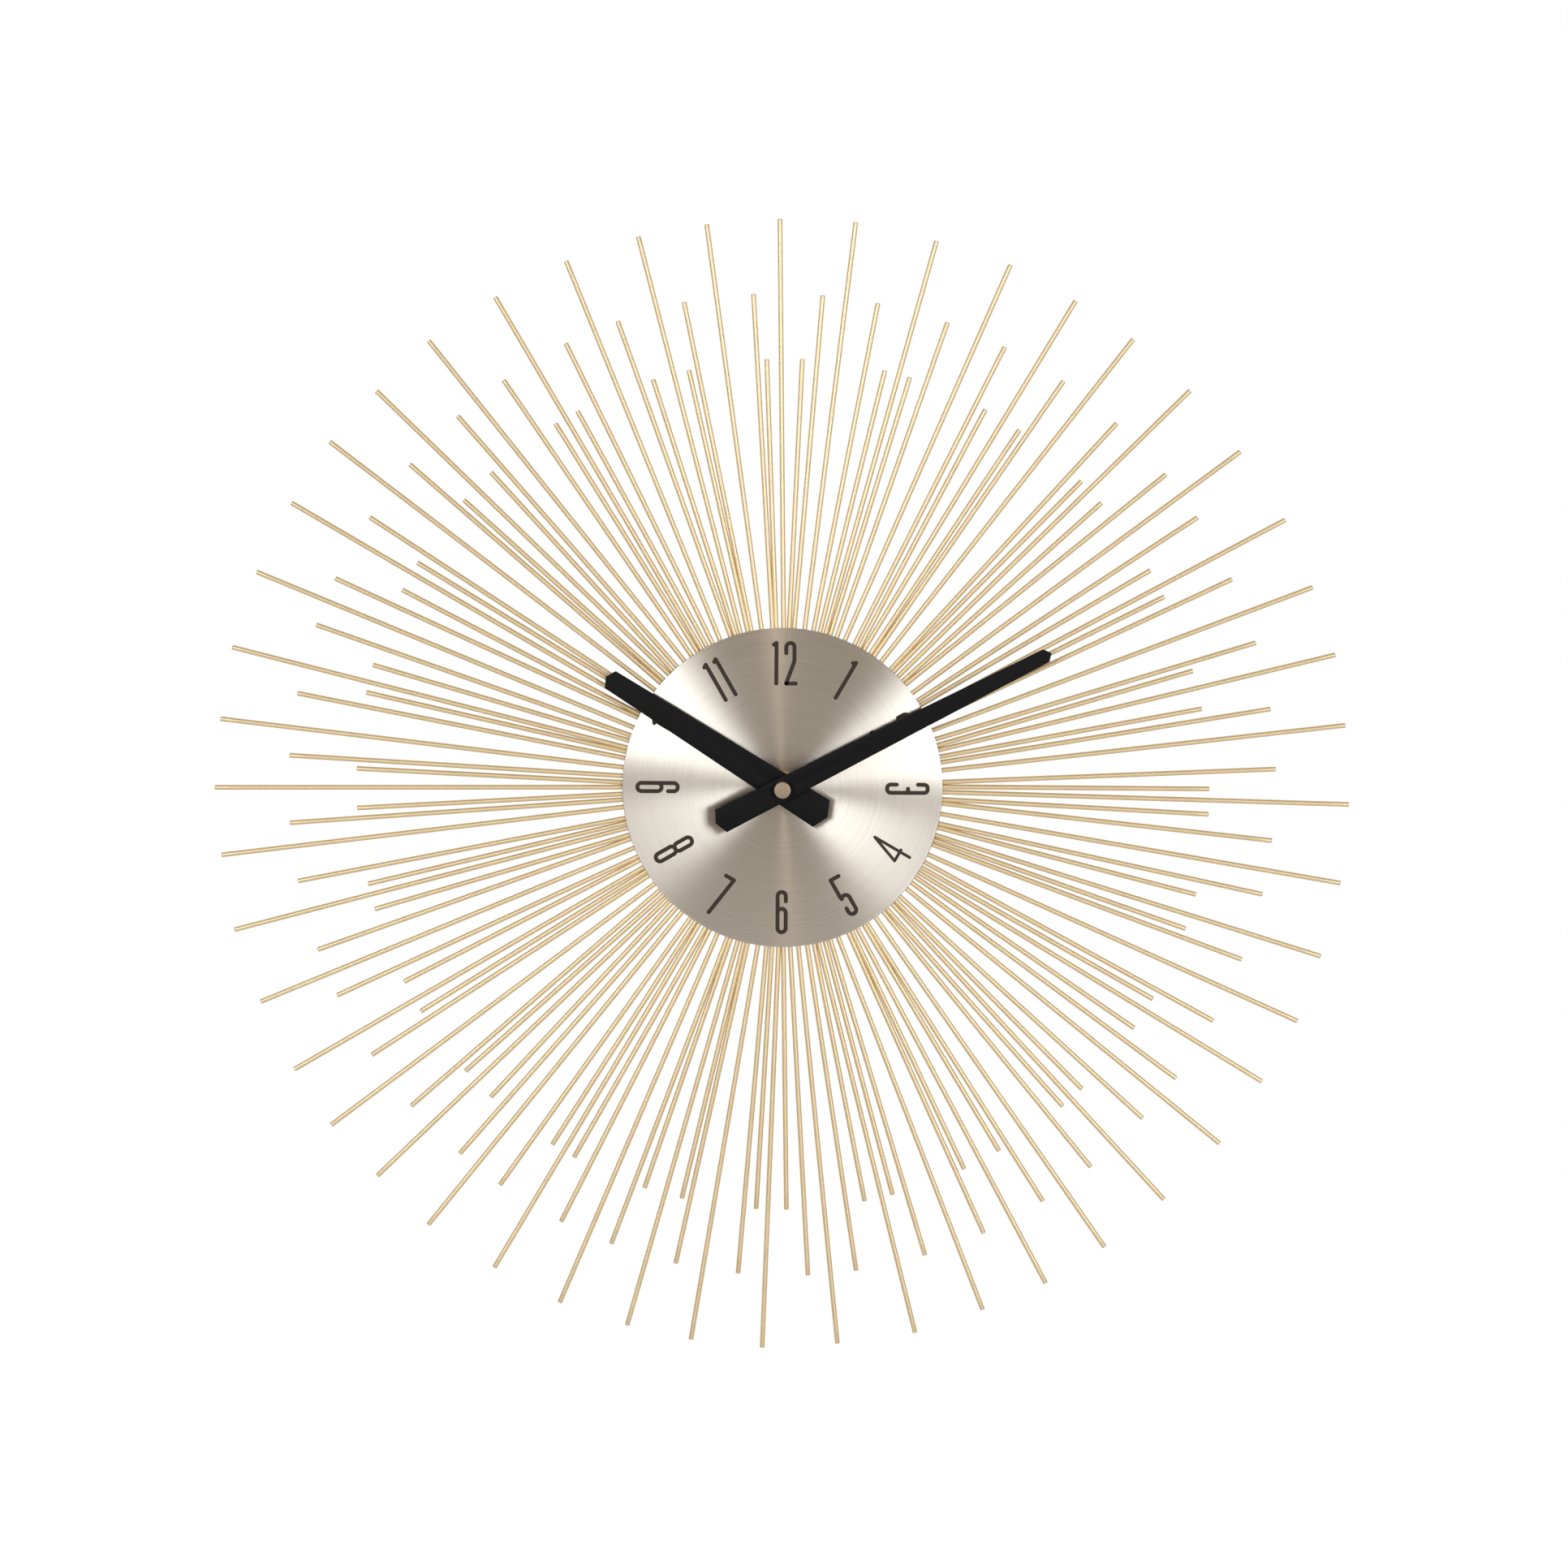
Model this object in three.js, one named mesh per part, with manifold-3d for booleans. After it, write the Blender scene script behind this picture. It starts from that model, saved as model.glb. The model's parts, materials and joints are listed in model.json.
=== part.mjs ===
// Sunburst wall clock: a fan of welded rods round a plain metal dial, driven by a quartz movement.
// Millimetres. The clock hangs on a wall at y = 0 and faces -Y, with +Z up.
// Inside the clock group, x is to the right, y is up and z is the depth in front of the wall.

import * as THREE from "three";
import { mergeVertices } from "three/addons/utils/BufferGeometryUtils.js";
import Module from "manifold-3d";

const wasm = await Module();
wasm.setup();

// ---- driving dimensions ----

// Depths from the wall to the front, as [rear, front] of each layer.
const DEPTH = {
  cover: [0, 1.6],
  case: [1.6, 16],
  caseInside: [1.6, 14.8],
  hanger: [16, 17],
  gasket: [17, 18],
  backPlate: [18, 19.2],
  spacer: [19.2, 21.6],
  dial: [21.6, 22.6],
  washer: [22.6, 23],
  nut: [23, 25.2],
  bushFlange: [14, 14.8],
  bush: [14, 26.2],
  hourHand: [27, 27.8],
  minuteHand: [30, 30.8],
  cap: [30.8, 35],
};

// The rods: every 15 degrees a cluster of five, with one lone long rod between clusters.
const LONG = 241;
const MEDIUM = 209.7;
const SHORT = 181.7;
const ROD_RADIUS = 1.05;
const ROD_SIDES = 6;
const ROD_START = 61;
const ROD_DEPTH = 20.3;
const CLUSTERS = 24;
const CLUSTER_STEP = 360 / CLUSTERS;
const CLUSTER_RODS = [
  { offset: -4.06, reach: MEDIUM },
  { offset: -2.18, reach: SHORT },
  { offset: 0, reach: LONG },
  { offset: 2.18, reach: SHORT },
  { offset: 4.06, reach: MEDIUM },
  { offset: 7.5, reach: LONG },
];
// Welding by hand turns the whole fan a little and leaves each rod slightly off its place.
const FAN_TURN = 0.9;
const FAN_DRIFT = 1.2;
const FAN_DRIFT_PHASE = 35;
const FOOT_WANDER = 0.35;
const TIP_WANDER = 0.5;
const REACH_WANDER = 0.5;
// The braze bead that joins one cluster's rods.
const BEAD_INNER = 59;
const BEAD_OUTER = 64;
const BEAD_DEPTH = [19.2, 21.4];
const BEAD_FROM = -5.5;
const BEAD_TO = 8.9;

const DIAL_RADIUS = 68.1;
const DIAL_BEVEL = 0.35;
const BACK_PLATE_RADIUS = 65;
const BUSH_RADIUS = 4;
const BUSH_BORE = 2.7;
const BUSH_HOLE = 4.15;
const NUT_ACROSS_FLATS = 11;

// Each hand tapers from tail to tip, with a blunt point at both ends. Angles are clockwise from twelve.
const MINUTE_HAND = {
  angle: 63,
  tail: 31.85,
  tip: 127.7,
  tailWidth: 11,
  tipWidth: 6,
  tailPoint: 2.6,
  tipPoint: 2.5,
  bore: 1.25,
};
const HOUR_HAND = {
  angle: 302.5,
  tail: 22.65,
  tip: 88.8,
  tailWidth: 13.5,
  tipWidth: 8.6,
  tailPoint: 3.1,
  tipPoint: 2.3,
  bore: 2.6,
};
const CAP_RADIUS = 3.5;

// The quartz movement.
const CASE_HALF = 28;
const CASE_WALL = 1.2;
const CASE_CORNER = 2;
const BAY_TOP = -11.5;
const TRAIN_FLOOR = BAY_TOP + CASE_WALL;
const CELL_RADIUS = 7.25;
const CELL_LENGTH = 50.5;
const CELL_NUB_RADIUS = 2.75;
const CELL_NUB = 1.2;
const CELL_LEFT = -26.2;
const CELL_UP = -19.15;
const CELL_DEPTH = 7.45;

// Gear modules and tooth counts. Distances between arbors follow from them.
const TRAIN_MODULE = 0.3;
const MOTION_MODULE = 0.4375;
const HOUR_MODULE = 0.42;
const CENTRE_TEETH = 60;
const THIRD_TEETH = 64;
const SECONDS_TEETH = 60;
const INTERMEDIATE_TEETH = 32;
const TRAIN_PINION_TEETH = 8;
const CANNON_TEETH = 12;
const MOTION_TEETH = 36;
const MOTION_PINION_TEETH = 10;
const HOUR_TEETH = 40;
const THIRD_DISTANCE = ((CENTRE_TEETH + TRAIN_PINION_TEETH) / 2) * TRAIN_MODULE;
const THIRD_MODULE = (2 * THIRD_DISTANCE) / (THIRD_TEETH + TRAIN_PINION_TEETH);
const INTERMEDIATE_DISTANCE = ((SECONDS_TEETH + TRAIN_PINION_TEETH) / 2) * TRAIN_MODULE;
const ROTOR_DISTANCE = ((INTERMEDIATE_TEETH + TRAIN_PINION_TEETH) / 2) * TRAIN_MODULE;
const MOTION_DISTANCE = ((CANNON_TEETH + MOTION_TEETH) / 2) * MOTION_MODULE;

// Directions between arbors, in degrees anticlockwise from the right.
const THIRD_DIRECTION = 180;
const INTERMEDIATE_DIRECTION = 110;
const ROTOR_DIRECTION = 33.6;
const MOTION_DIRECTION = 0;
const SETTING_DIRECTION = 45;
const THIRD_AT = along([0, 0], THIRD_DISTANCE, THIRD_DIRECTION);
const INTERMEDIATE_AT = along([0, 0], INTERMEDIATE_DISTANCE, INTERMEDIATE_DIRECTION);
const ROTOR_AT = along(INTERMEDIATE_AT, ROTOR_DISTANCE, ROTOR_DIRECTION);
const MOTION_AT = along([0, 0], MOTION_DISTANCE, MOTION_DIRECTION);
const SETTING_AT = along(MOTION_AT, MOTION_DISTANCE, SETTING_DIRECTION);

const ARBOR_RADIUS = 0.5;
const ARBOR_REAR = 1.2;
const PIVOT_HOLE = 0.65;
const MINUTE_ARBOR_RADIUS = 1.6;
const HOUR_TUBE_RADIUS = 2.5;
const HOUR_TUBE_BORE = 1.9;
const BRIDGE = [10.3, 10.8];
const BRIDGE_TOP = 16;
const KNOB_RADIUS = 6;
const KNOB_DEPTH = [0.4, 2.6];
const CUP_RADIUS = 7.5;
const CUP_WALL = 1;
const CUP_FLOOR = [3.2, 4];
const STEM_RADIUS = 1;

const COIL_UP = 22;
const COIL_DEPTH = 8;
const COIL_HALF_LENGTH = 10;
const CORE_HALF_LENGTH = 14;

const MERGE_DISTANCE = 1e-4;

// ---- helpers ----

function radians(degrees) {
  return (degrees * Math.PI) / 180;
}

// The point at a distance and direction (degrees anticlockwise from the right) from another point.
function along([x, y], distance, direction) {
  return [x + distance * Math.cos(radians(direction)), y + distance * Math.sin(radians(direction))];
}

// The point at a radius and a clock angle (degrees clockwise from twelve).
function clockPoint(radius, angle) {
  return new THREE.Vector2(radius * Math.sin(radians(angle)), radius * Math.cos(radians(angle)));
}

function toSolid(geometry) {
  const bare = geometry.index ? geometry.toNonIndexed() : geometry.clone();
  bare.deleteAttribute("normal");
  bare.deleteAttribute("uv");
  const merged = mergeVertices(bare, MERGE_DISTANCE);
  const corners = [];
  for (let i = 0; i < merged.index.count; i += 3) {
    const [a, b, c] = [0, 1, 2].map((k) => merged.index.getX(i + k));
    if (a !== b && b !== c && c !== a) corners.push(a, b, c);
  }
  const vertProperties = merged.attributes.position.array;
  const triVerts = new Uint32Array(corners);
  return new wasm.Manifold(new wasm.Mesh({ numProp: 3, vertProperties, triVerts }));
}

function toGeometry(solid) {
  const mesh = solid.getMesh();
  const geometry = new THREE.BufferGeometry();
  geometry.setAttribute("position", new THREE.BufferAttribute(mesh.vertProperties, 3));
  geometry.setIndex(new THREE.BufferAttribute(mesh.triVerts, 1));
  geometry.computeVertexNormals();
  return geometry;
}

function joined(...geometries) {
  const solids = geometries.map(toSolid);
  return toGeometry(solids.reduce((whole, next) => whole.add(next)));
}

function cut(geometry, ...tools) {
  const solids = tools.map(toSolid);
  return toGeometry(solids.reduce((whole, next) => whole.subtract(next), toSolid(geometry)));
}

// A flat shape given thickness, from one depth to another.
function slab(shape, [rear, front], curveSegments = 12) {
  const options = { depth: front - rear, bevelEnabled: false, curveSegments };
  return new THREE.ExtrudeGeometry(shape, options).translate(0, 0, rear);
}

function polygon(points) {
  return new THREE.Shape(points.map(([x, y]) => new THREE.Vector2(x, y)));
}

function rectangle(left, right, bottom, top) {
  return polygon([
    [left, bottom],
    [right, bottom],
    [right, top],
    [left, top],
  ]);
}

function block(left, right, bottom, top, depths) {
  return slab(rectangle(left, right, bottom, top), depths);
}

// A piece turned on the depth axis from [radius, depth] points, which run from the rear to the front.
function turned(profile, sides) {
  const points = profile.map(([radius, depth]) => new THREE.Vector2(radius, depth));
  return new THREE.LatheGeometry(points, sides).rotateX(Math.PI / 2);
}

function cylinder(radius, [rear, front], sides = 12, [x, y] = [0, 0]) {
  const profile = [
    [0, rear],
    [radius, rear],
    [radius, front],
    [0, front],
  ];
  return turned(profile, sides).translate(x, y, 0);
}

function ring(outer, inner, [rear, front], sides) {
  const profile = [
    [inner, rear],
    [outer, rear],
    [outer, front],
    [inner, front],
    [inner, rear],
  ];
  return turned(profile, sides);
}

// Tooth proportions in modules: heights from the pitch circle, and half widths at the tip and root.
const WHEEL_TOOTH = { addendum: 1.05, dedendum: 1.25, tip: 0, root: 0.85 };
const PINION_TOOTH = { addendum: 0.95, dedendum: 1.25, tip: 0.25, root: 0.68 };

function onCircle(radius, angle) {
  return [radius * Math.cos(angle), radius * Math.sin(angle)];
}

// A gear with straight flanks. One tooth, or one gap, is centred on the given direction.
function gear(teeth, module, tooth, depths, direction, facing = "tooth") {
  const pitch = (teeth * module) / 2;
  const tipRadius = pitch + tooth.addendum * module;
  const rootRadius = pitch - tooth.dedendum * module;
  const tipHalf = (tooth.tip * module) / tipRadius;
  const rootHalf = (tooth.root * module) / rootRadius;
  const step = (2 * Math.PI) / teeth;
  const start = radians(direction) + (facing === "gap" ? step / 2 : 0);
  const outline = [];
  for (let i = 0; i < teeth; i++) {
    const middle = start + i * step;
    const crest = tipHalf > 0 ? [middle - tipHalf, middle + tipHalf] : [middle];
    outline.push(onCircle(rootRadius, middle - rootHalf));
    outline.push(...crest.map((angle) => onCircle(tipRadius, angle)));
    outline.push(onCircle(rootRadius, middle + rootHalf));
  }
  return slab(polygon(outline), depths);
}

const clock = new THREE.Group();
clock.rotation.x = Math.PI / 2;

function material(color, roughness, metalness) {
  return new THREE.MeshStandardMaterial({ color, roughness, metalness });
}

const CHAMPAGNE = material(0xd8bd90, 0.35, 0.9);
const SATIN_METAL = material(0xc9c2b4, 0.3, 1);
const MATTE_BLACK = material(0x15151a, 0.6, 0.1);
const BRASS = material(0xb08d57, 0.35, 1);
const BLACK_PLASTIC = material(0x1b1b1d, 0.55, 0);
const WHITE_PLASTIC = material(0xe6e4da, 0.5, 0);
const RUBBER = material(0x101010, 0.9, 0);
const STEEL = material(0xa9adb0, 0.35, 1);
const COPPER = material(0xb5633a, 0.4, 0.9);
const BOARD_GREEN = material(0x2c6b45, 0.5, 0);
const MAGNET = material(0x4a4a4e, 0.5, 0.8);
const CELL_WRAP = material(0x34506b, 0.4, 0.2);

function add(name, geometry, finish, [x, y] = [0, 0]) {
  const mesh = new THREE.Mesh(geometry, finish);
  mesh.name = name;
  mesh.position.set(x, y, 0);
  clock.add(mesh);
  return mesh;
}

// ---- the rods ----

// How far the fan has turned, in degrees, at a clock angle.
function fanTurn(angle) {
  return FAN_TURN + FAN_DRIFT * Math.sin(radians(angle - FAN_DRIFT_PHASE));
}

// An even scatter between -1 and 1 that never repeats in step with the clusters.
function scatter(index, pace) {
  return Math.sin(index * pace);
}

function rod(foot, tip) {
  const middle = foot.clone().add(tip).divideScalar(2);
  const run = tip.clone().sub(foot);
  return new THREE.CylinderGeometry(ROD_RADIUS, ROD_RADIUS, run.length(), ROD_SIDES)
    .rotateZ(run.angle() - Math.PI / 2)
    .translate(middle.x, middle.y, ROD_DEPTH);
}

function bead(angle) {
  const steps = 3;
  const outline = [];
  for (let i = 0; i <= steps; i++) {
    outline.push(clockPoint(BEAD_OUTER, angle + BEAD_FROM + ((BEAD_TO - BEAD_FROM) * i) / steps));
  }
  for (let i = steps; i >= 0; i--) {
    outline.push(clockPoint(BEAD_INNER, angle + BEAD_FROM + ((BEAD_TO - BEAD_FROM) * i) / steps));
  }
  return slab(new THREE.Shape(outline), BEAD_DEPTH);
}

for (let k = 0; k < CLUSTERS; k++) {
  const angle = k * CLUSTER_STEP;
  const turn = fanTurn(angle);
  const rods = CLUSTER_RODS.map(({ offset, reach }, i) => {
    const index = k * CLUSTER_RODS.length + i + 1;
    const footAngle = angle + offset + turn + FOOT_WANDER * scatter(index, 2.4);
    const tipAngle = angle + offset + turn + TIP_WANDER * scatter(index, 1.7);
    const tipRadius = reach + REACH_WANDER * scatter(index, 3.3);
    return rod(clockPoint(ROD_START, footAngle), clockPoint(tipRadius, tipAngle));
  });
  const name = "ray_cluster_" + String(k + 1).padStart(2, "0");
  add(name, joined(bead(angle + turn), ...rods), CHAMPAGNE);
}

// ---- the plates and the stack on the bush ----

add("back_plate", ring(BACK_PLATE_RADIUS, BUSH_HOLE, DEPTH.backPlate, 36), CHAMPAGNE);
add("plate_spacer", ring(9, BUSH_HOLE, DEPTH.spacer, 24), BRASS);

function dialPlate() {
  const [rear, front] = DEPTH.dial;
  const profile = [
    [BUSH_HOLE, rear],
    [DIAL_RADIUS, rear],
    [DIAL_RADIUS, front - DIAL_BEVEL],
    [DIAL_RADIUS - DIAL_BEVEL, front],
    [BUSH_HOLE, front],
    [BUSH_HOLE, rear],
  ];
  return turned(profile, 60);
}

add("dial_plate", dialPlate(), SATIN_METAL);
add("dial_washer", ring(7.2, BUSH_HOLE, DEPTH.washer, 24), BRASS);

function hexNut() {
  const corner = NUT_ACROSS_FLATS / 2 / Math.cos(Math.PI / 6);
  const hexagon = Array.from({ length: 6 }, (_, i) => along([0, 0], corner, 60 * i));
  return cut(slab(polygon(hexagon), DEPTH.nut), cylinder(BUSH_HOLE, [22, 27], 24));
}

add("hex_nut", hexNut(), BRASS);
add("rubber_gasket", ring(9, BUSH_HOLE, DEPTH.gasket, 24), RUBBER);

function threadedBush() {
  const flangeRadius = 5.5;
  const profile = [
    [BUSH_BORE, DEPTH.bush[0]],
    [flangeRadius, DEPTH.bushFlange[0]],
    [flangeRadius, DEPTH.bushFlange[1]],
    [BUSH_RADIUS, DEPTH.bushFlange[1]],
    [BUSH_RADIUS, DEPTH.bush[1]],
    [BUSH_BORE, DEPTH.bush[1]],
    [BUSH_BORE, DEPTH.bush[0]],
  ];
  return turned(profile, 24);
}

add("threaded_bush", threadedBush(), BRASS);

// The hanger is a steel strap clamped on the bush, with a keyhole above the movement.
function hanger() {
  const width = 9;
  const bottom = -8;
  const crown = 39;
  const keyholeUp = 36;
  const keyholeRadius = 4.5;
  const slotRadius = 2.1;
  const slotUp = 41.5;
  const strap = new THREE.Shape();
  strap.moveTo(-width, bottom);
  strap.lineTo(width, bottom);
  strap.lineTo(width, crown);
  strap.absarc(0, crown, width, 0, Math.PI, false);
  const keyhole = new THREE.Path();
  const neck = Math.asin(slotRadius / keyholeRadius);
  const upward = Math.PI / 2;
  keyhole.absarc(0, keyholeUp, keyholeRadius, upward + neck, upward - neck + 2 * Math.PI, false);
  keyhole.lineTo(slotRadius, slotUp);
  keyhole.absarc(0, slotUp, slotRadius, 0, Math.PI, false);
  const bushHole = new THREE.Path();
  bushHole.absarc(0, 0, BUSH_HOLE, 0, 2 * Math.PI, false);
  strap.holes.push(keyhole, bushHole);
  return slab(strap, DEPTH.hanger, 8);
}

add("hanger", hanger(), STEEL);

// ---- hands ----

function hand({ angle, tail, tip, tailWidth, tipWidth, tailPoint, tipPoint, bore }, depths) {
  const blade = polygon([
    [0, -tail],
    [tailWidth / 2, tailPoint - tail],
    [tipWidth / 2, tip - tipPoint],
    [0, tip],
    [-tipWidth / 2, tip - tipPoint],
    [-tailWidth / 2, tailPoint - tail],
  ]);
  const hole = new THREE.Path();
  hole.absarc(0, 0, bore, 0, 2 * Math.PI, false);
  blade.holes.push(hole);
  return slab(blade, depths).rotateZ(-radians(angle));
}

add("hour_hand", hand(HOUR_HAND, DEPTH.hourHand), MATTE_BLACK);
add("minute_hand", hand(MINUTE_HAND, DEPTH.minuteHand), MATTE_BLACK);

function handCapNut() {
  const [rear, front] = DEPTH.cap;
  const edge = 0.3;
  const profile = [
    [MINUTE_HAND.bore, rear],
    [CAP_RADIUS, rear],
    [CAP_RADIUS, front - edge],
    [CAP_RADIUS - edge, front],
    [0, front],
    [0, front - 1],
    [MINUTE_HAND.bore, front - 1],
    [MINUTE_HAND.bore, rear],
  ];
  return turned(profile, 24);
}

add("hand_cap_nut", handCapNut(), BRASS);

// ---- motion work, which drives the hour hand from the minute arbor ----

function minuteArbor() {
  const rear = 8.6;
  const profile = [
    [0, rear + 1],
    [PIVOT_HOLE, rear + 1],
    [PIVOT_HOLE, rear],
    [MINUTE_ARBOR_RADIUS, rear],
    [MINUTE_ARBOR_RADIUS, DEPTH.minuteHand[0]],
    [MINUTE_HAND.bore - 0.05, DEPTH.minuteHand[0]],
    [MINUTE_HAND.bore - 0.05, DEPTH.cap[1] - 1.4],
    [0, DEPTH.cap[1] - 1.4],
  ];
  const pinion = gear(CANNON_TEETH, MOTION_MODULE, PINION_TOOTH, [11, 12.2], MOTION_DIRECTION, "gap");
  return joined(turned(profile, 16), pinion);
}

add("minute_arbor", minuteArbor(), BRASS);

function centreWheel() {
  const wheel = gear(CENTRE_TEETH, TRAIN_MODULE, WHEEL_TOOTH, [9.2, 10], THIRD_DIRECTION);
  return cut(wheel, cylinder(MINUTE_ARBOR_RADIUS + 0.05, [9, 10.2], 16));
}

add("centre_wheel", centreWheel(), WHITE_PLASTIC);

function hourWheel() {
  const wheel = gear(HOUR_TEETH, HOUR_MODULE, WHEEL_TOOTH, [13, 13.8], MOTION_DIRECTION);
  const tube = cylinder(HOUR_TUBE_RADIUS, [13, DEPTH.hourHand[1] + 0.2], 24);
  return cut(joined(wheel, tube), cylinder(HOUR_TUBE_BORE, [12, 29], 24));
}

add("hour_wheel", hourWheel(), WHITE_PLASTIC);

function motionWheel() {
  const toCentre = MOTION_DIRECTION + 180;
  const wheel = gear(MOTION_TEETH, MOTION_MODULE, WHEEL_TOOTH, [11.2, 12], toCentre);
  const pinion = gear(MOTION_PINION_TEETH, HOUR_MODULE, PINION_TOOTH, [12, 13.9], toCentre, "gap");
  const arbor = cylinder(ARBOR_RADIUS, [10.9, 15.2], 10);
  return joined(wheel, pinion, arbor);
}

add("motion_wheel", motionWheel(), WHITE_PLASTIC, MOTION_AT);

// ---- setting knob at the rear, geared to the motion wheel ----

function settingStem() {
  const pinion = gear(CANNON_TEETH, MOTION_MODULE, PINION_TOOTH, [11, 12.2], SETTING_DIRECTION + 180);
  const stem = cylinder(STEM_RADIUS, [1.4, 11.5], 12);
  const pivot = cylinder(ARBOR_RADIUS, [11.5, 15.2], 10);
  return joined(pinion, stem, pivot);
}

add("setting_stem", settingStem(), WHITE_PLASTIC, SETTING_AT);

function settingKnob() {
  const knurls = 20;
  const knurl = { addendum: 0.5, dedendum: 0.5, tip: 0.5, root: 1.1 };
  const grip = gear(knurls, (2 * KNOB_RADIUS) / (knurls + 1), knurl, KNOB_DEPTH, 0);
  return cut(grip, cylinder(STEM_RADIUS + 0.05, [1.35, 3], 12));
}

add("setting_knob", settingKnob(), WHITE_PLASTIC, SETTING_AT);

// ---- going train ----

function thirdWheel() {
  const toCentre = THIRD_DIRECTION + 180;
  const wheel = gear(THIRD_TEETH, THIRD_MODULE, WHEEL_TOOTH, [7.2, 8], toCentre);
  const pinion = gear(TRAIN_PINION_TEETH, TRAIN_MODULE, PINION_TOOTH, [8, 10.1], toCentre, "gap");
  return joined(wheel, pinion, cylinder(ARBOR_RADIUS, [ARBOR_REAR, 10.6], 10));
}

add("third_wheel", thirdWheel(), WHITE_PLASTIC, THIRD_AT);

function secondsWheel() {
  const wheel = gear(SECONDS_TEETH, TRAIN_MODULE, WHEEL_TOOTH, [5.4, 6.2], INTERMEDIATE_DIRECTION);
  const pinion = gear(TRAIN_PINION_TEETH, THIRD_MODULE, PINION_TOOTH, [6.2, 8.2], THIRD_DIRECTION, "gap");
  return joined(wheel, pinion, cylinder(ARBOR_RADIUS, [ARBOR_REAR, 9.3], 10));
}

add("seconds_wheel", secondsWheel(), WHITE_PLASTIC);

function intermediateWheel() {
  const toSeconds = INTERMEDIATE_DIRECTION + 180;
  const wheel = gear(INTERMEDIATE_TEETH, TRAIN_MODULE, WHEEL_TOOTH, [3.8, 4.6], ROTOR_DIRECTION);
  const pinion = gear(TRAIN_PINION_TEETH, TRAIN_MODULE, PINION_TOOTH, [4.6, 6.3], toSeconds, "gap");
  return joined(wheel, pinion, cylinder(ARBOR_RADIUS, [ARBOR_REAR, 10.6], 10));
}

add("intermediate_wheel", intermediateWheel(), WHITE_PLASTIC, INTERMEDIATE_AT);

// ---- stepping motor ----

function rotorPinion() {
  const toWheel = ROTOR_DIRECTION + 180;
  const pinion = gear(TRAIN_PINION_TEETH, TRAIN_MODULE, PINION_TOOTH, [3.5, 5], toWheel, "gap");
  return joined(pinion, cylinder(ARBOR_RADIUS, [ARBOR_REAR, 10.6], 10));
}

add("rotor_pinion", rotorPinion(), WHITE_PLASTIC, ROTOR_AT);
add("rotor_magnet", ring(2.75, ARBOR_RADIUS + 0.05, [5.4, 8.6], 20), MAGNET, ROTOR_AT);

// One flat lamination: a ring round the rotor and two legs to the ends of the coil's core.
function stator() {
  const depths = [6.5, 7.5];
  const [x, y] = ROTOR_AT;
  const bore = cylinder(3.5, [6, 8], 24, ROTOR_AT);
  const hub = cylinder(5.2, depths, 24, ROTOR_AT);
  const leg = (side) =>
    slab(
      polygon([
        [x + side * 4.3, y - 1.2],
        [x + side * CORE_HALF_LENGTH, COIL_UP - 3.8],
        [x + side * CORE_HALF_LENGTH, COIL_UP + 2.4],
        [x + side * (COIL_HALF_LENGTH + 1), COIL_UP + 2.4],
        [x + side * (COIL_HALF_LENGTH + 1), COIL_UP - 4.4],
        [x + side * 2.5, COIL_UP - 4.6],
      ]),
      depths,
    );
  return cut(joined(hub, leg(-1), leg(1)), bore);
}

add("stator", stator(), STEEL);

const [CORE_X] = ROTOR_AT;
const CORE_HALF_WIDTH = 1.5;
const CORE_DEPTH = [7.5, 8.5];

function coilCore() {
  const [left, right] = [CORE_X - CORE_HALF_LENGTH, CORE_X + CORE_HALF_LENGTH];
  return block(left, right, COIL_UP - CORE_HALF_WIDTH, COIL_UP + CORE_HALF_WIDTH, CORE_DEPTH);
}

add("coil_core", coilCore(), STEEL);

// A turned piece laid along x, from [radius, x] points, through the coil's middle.
function turnedAlongX(profile, sides) {
  const points = profile.map(([radius, x]) => new THREE.Vector2(radius, x));
  const piece = new THREE.LatheGeometry(points, sides).rotateZ(-Math.PI / 2);
  return piece.translate(CORE_X, COIL_UP, COIL_DEPTH);
}

const BOBBIN_TUBE = 2.4;
const BOBBIN_FLANGE = 3.9;
const FLANGE_WIDTH = 1;
const WINDING_HALF_LENGTH = COIL_HALF_LENGTH - FLANGE_WIDTH;

function coilBobbin() {
  const spool = turnedAlongX(
    [
      [0, -COIL_HALF_LENGTH],
      [BOBBIN_FLANGE, -COIL_HALF_LENGTH],
      [BOBBIN_FLANGE, -WINDING_HALF_LENGTH],
      [BOBBIN_TUBE, -WINDING_HALF_LENGTH],
      [BOBBIN_TUBE, WINDING_HALF_LENGTH],
      [BOBBIN_FLANGE, WINDING_HALF_LENGTH],
      [BOBBIN_FLANGE, COIL_HALF_LENGTH],
      [0, COIL_HALF_LENGTH],
    ],
    16,
  );
  const gap = 0.15;
  const [left, right] = [CORE_X - CORE_HALF_LENGTH, CORE_X + CORE_HALF_LENGTH];
  const [low, high] = [COIL_UP - CORE_HALF_WIDTH - gap, COIL_UP + CORE_HALF_WIDTH + gap];
  return cut(spool, block(left, right, low, high, [CORE_DEPTH[0] - gap, CORE_DEPTH[1] + gap]));
}

add("coil_bobbin", coilBobbin(), WHITE_PLASTIC);

function coilWinding() {
  const [inner, outer] = [BOBBIN_TUBE + 0.05, 3.5];
  const end = WINDING_HALF_LENGTH - 0.1;
  return turnedAlongX(
    [
      [inner, -end],
      [outer, -end],
      [outer, end],
      [inner, end],
      [inner, -end],
    ],
    16,
  );
}

add("coil_winding", coilWinding(), COPPER);

// ---- electronics and power ----

const CONTACT_LEFT = -26.7;
const CONTACT_THICKNESS = 0.4;
const BOARD = { left: CONTACT_LEFT, right: -14, bottom: 8, top: 26.5, depths: [9, 10] };
const CRYSTAL = { radius: 1, length: 6, x: -20, y: 17, depth: 7.9 };

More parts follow.
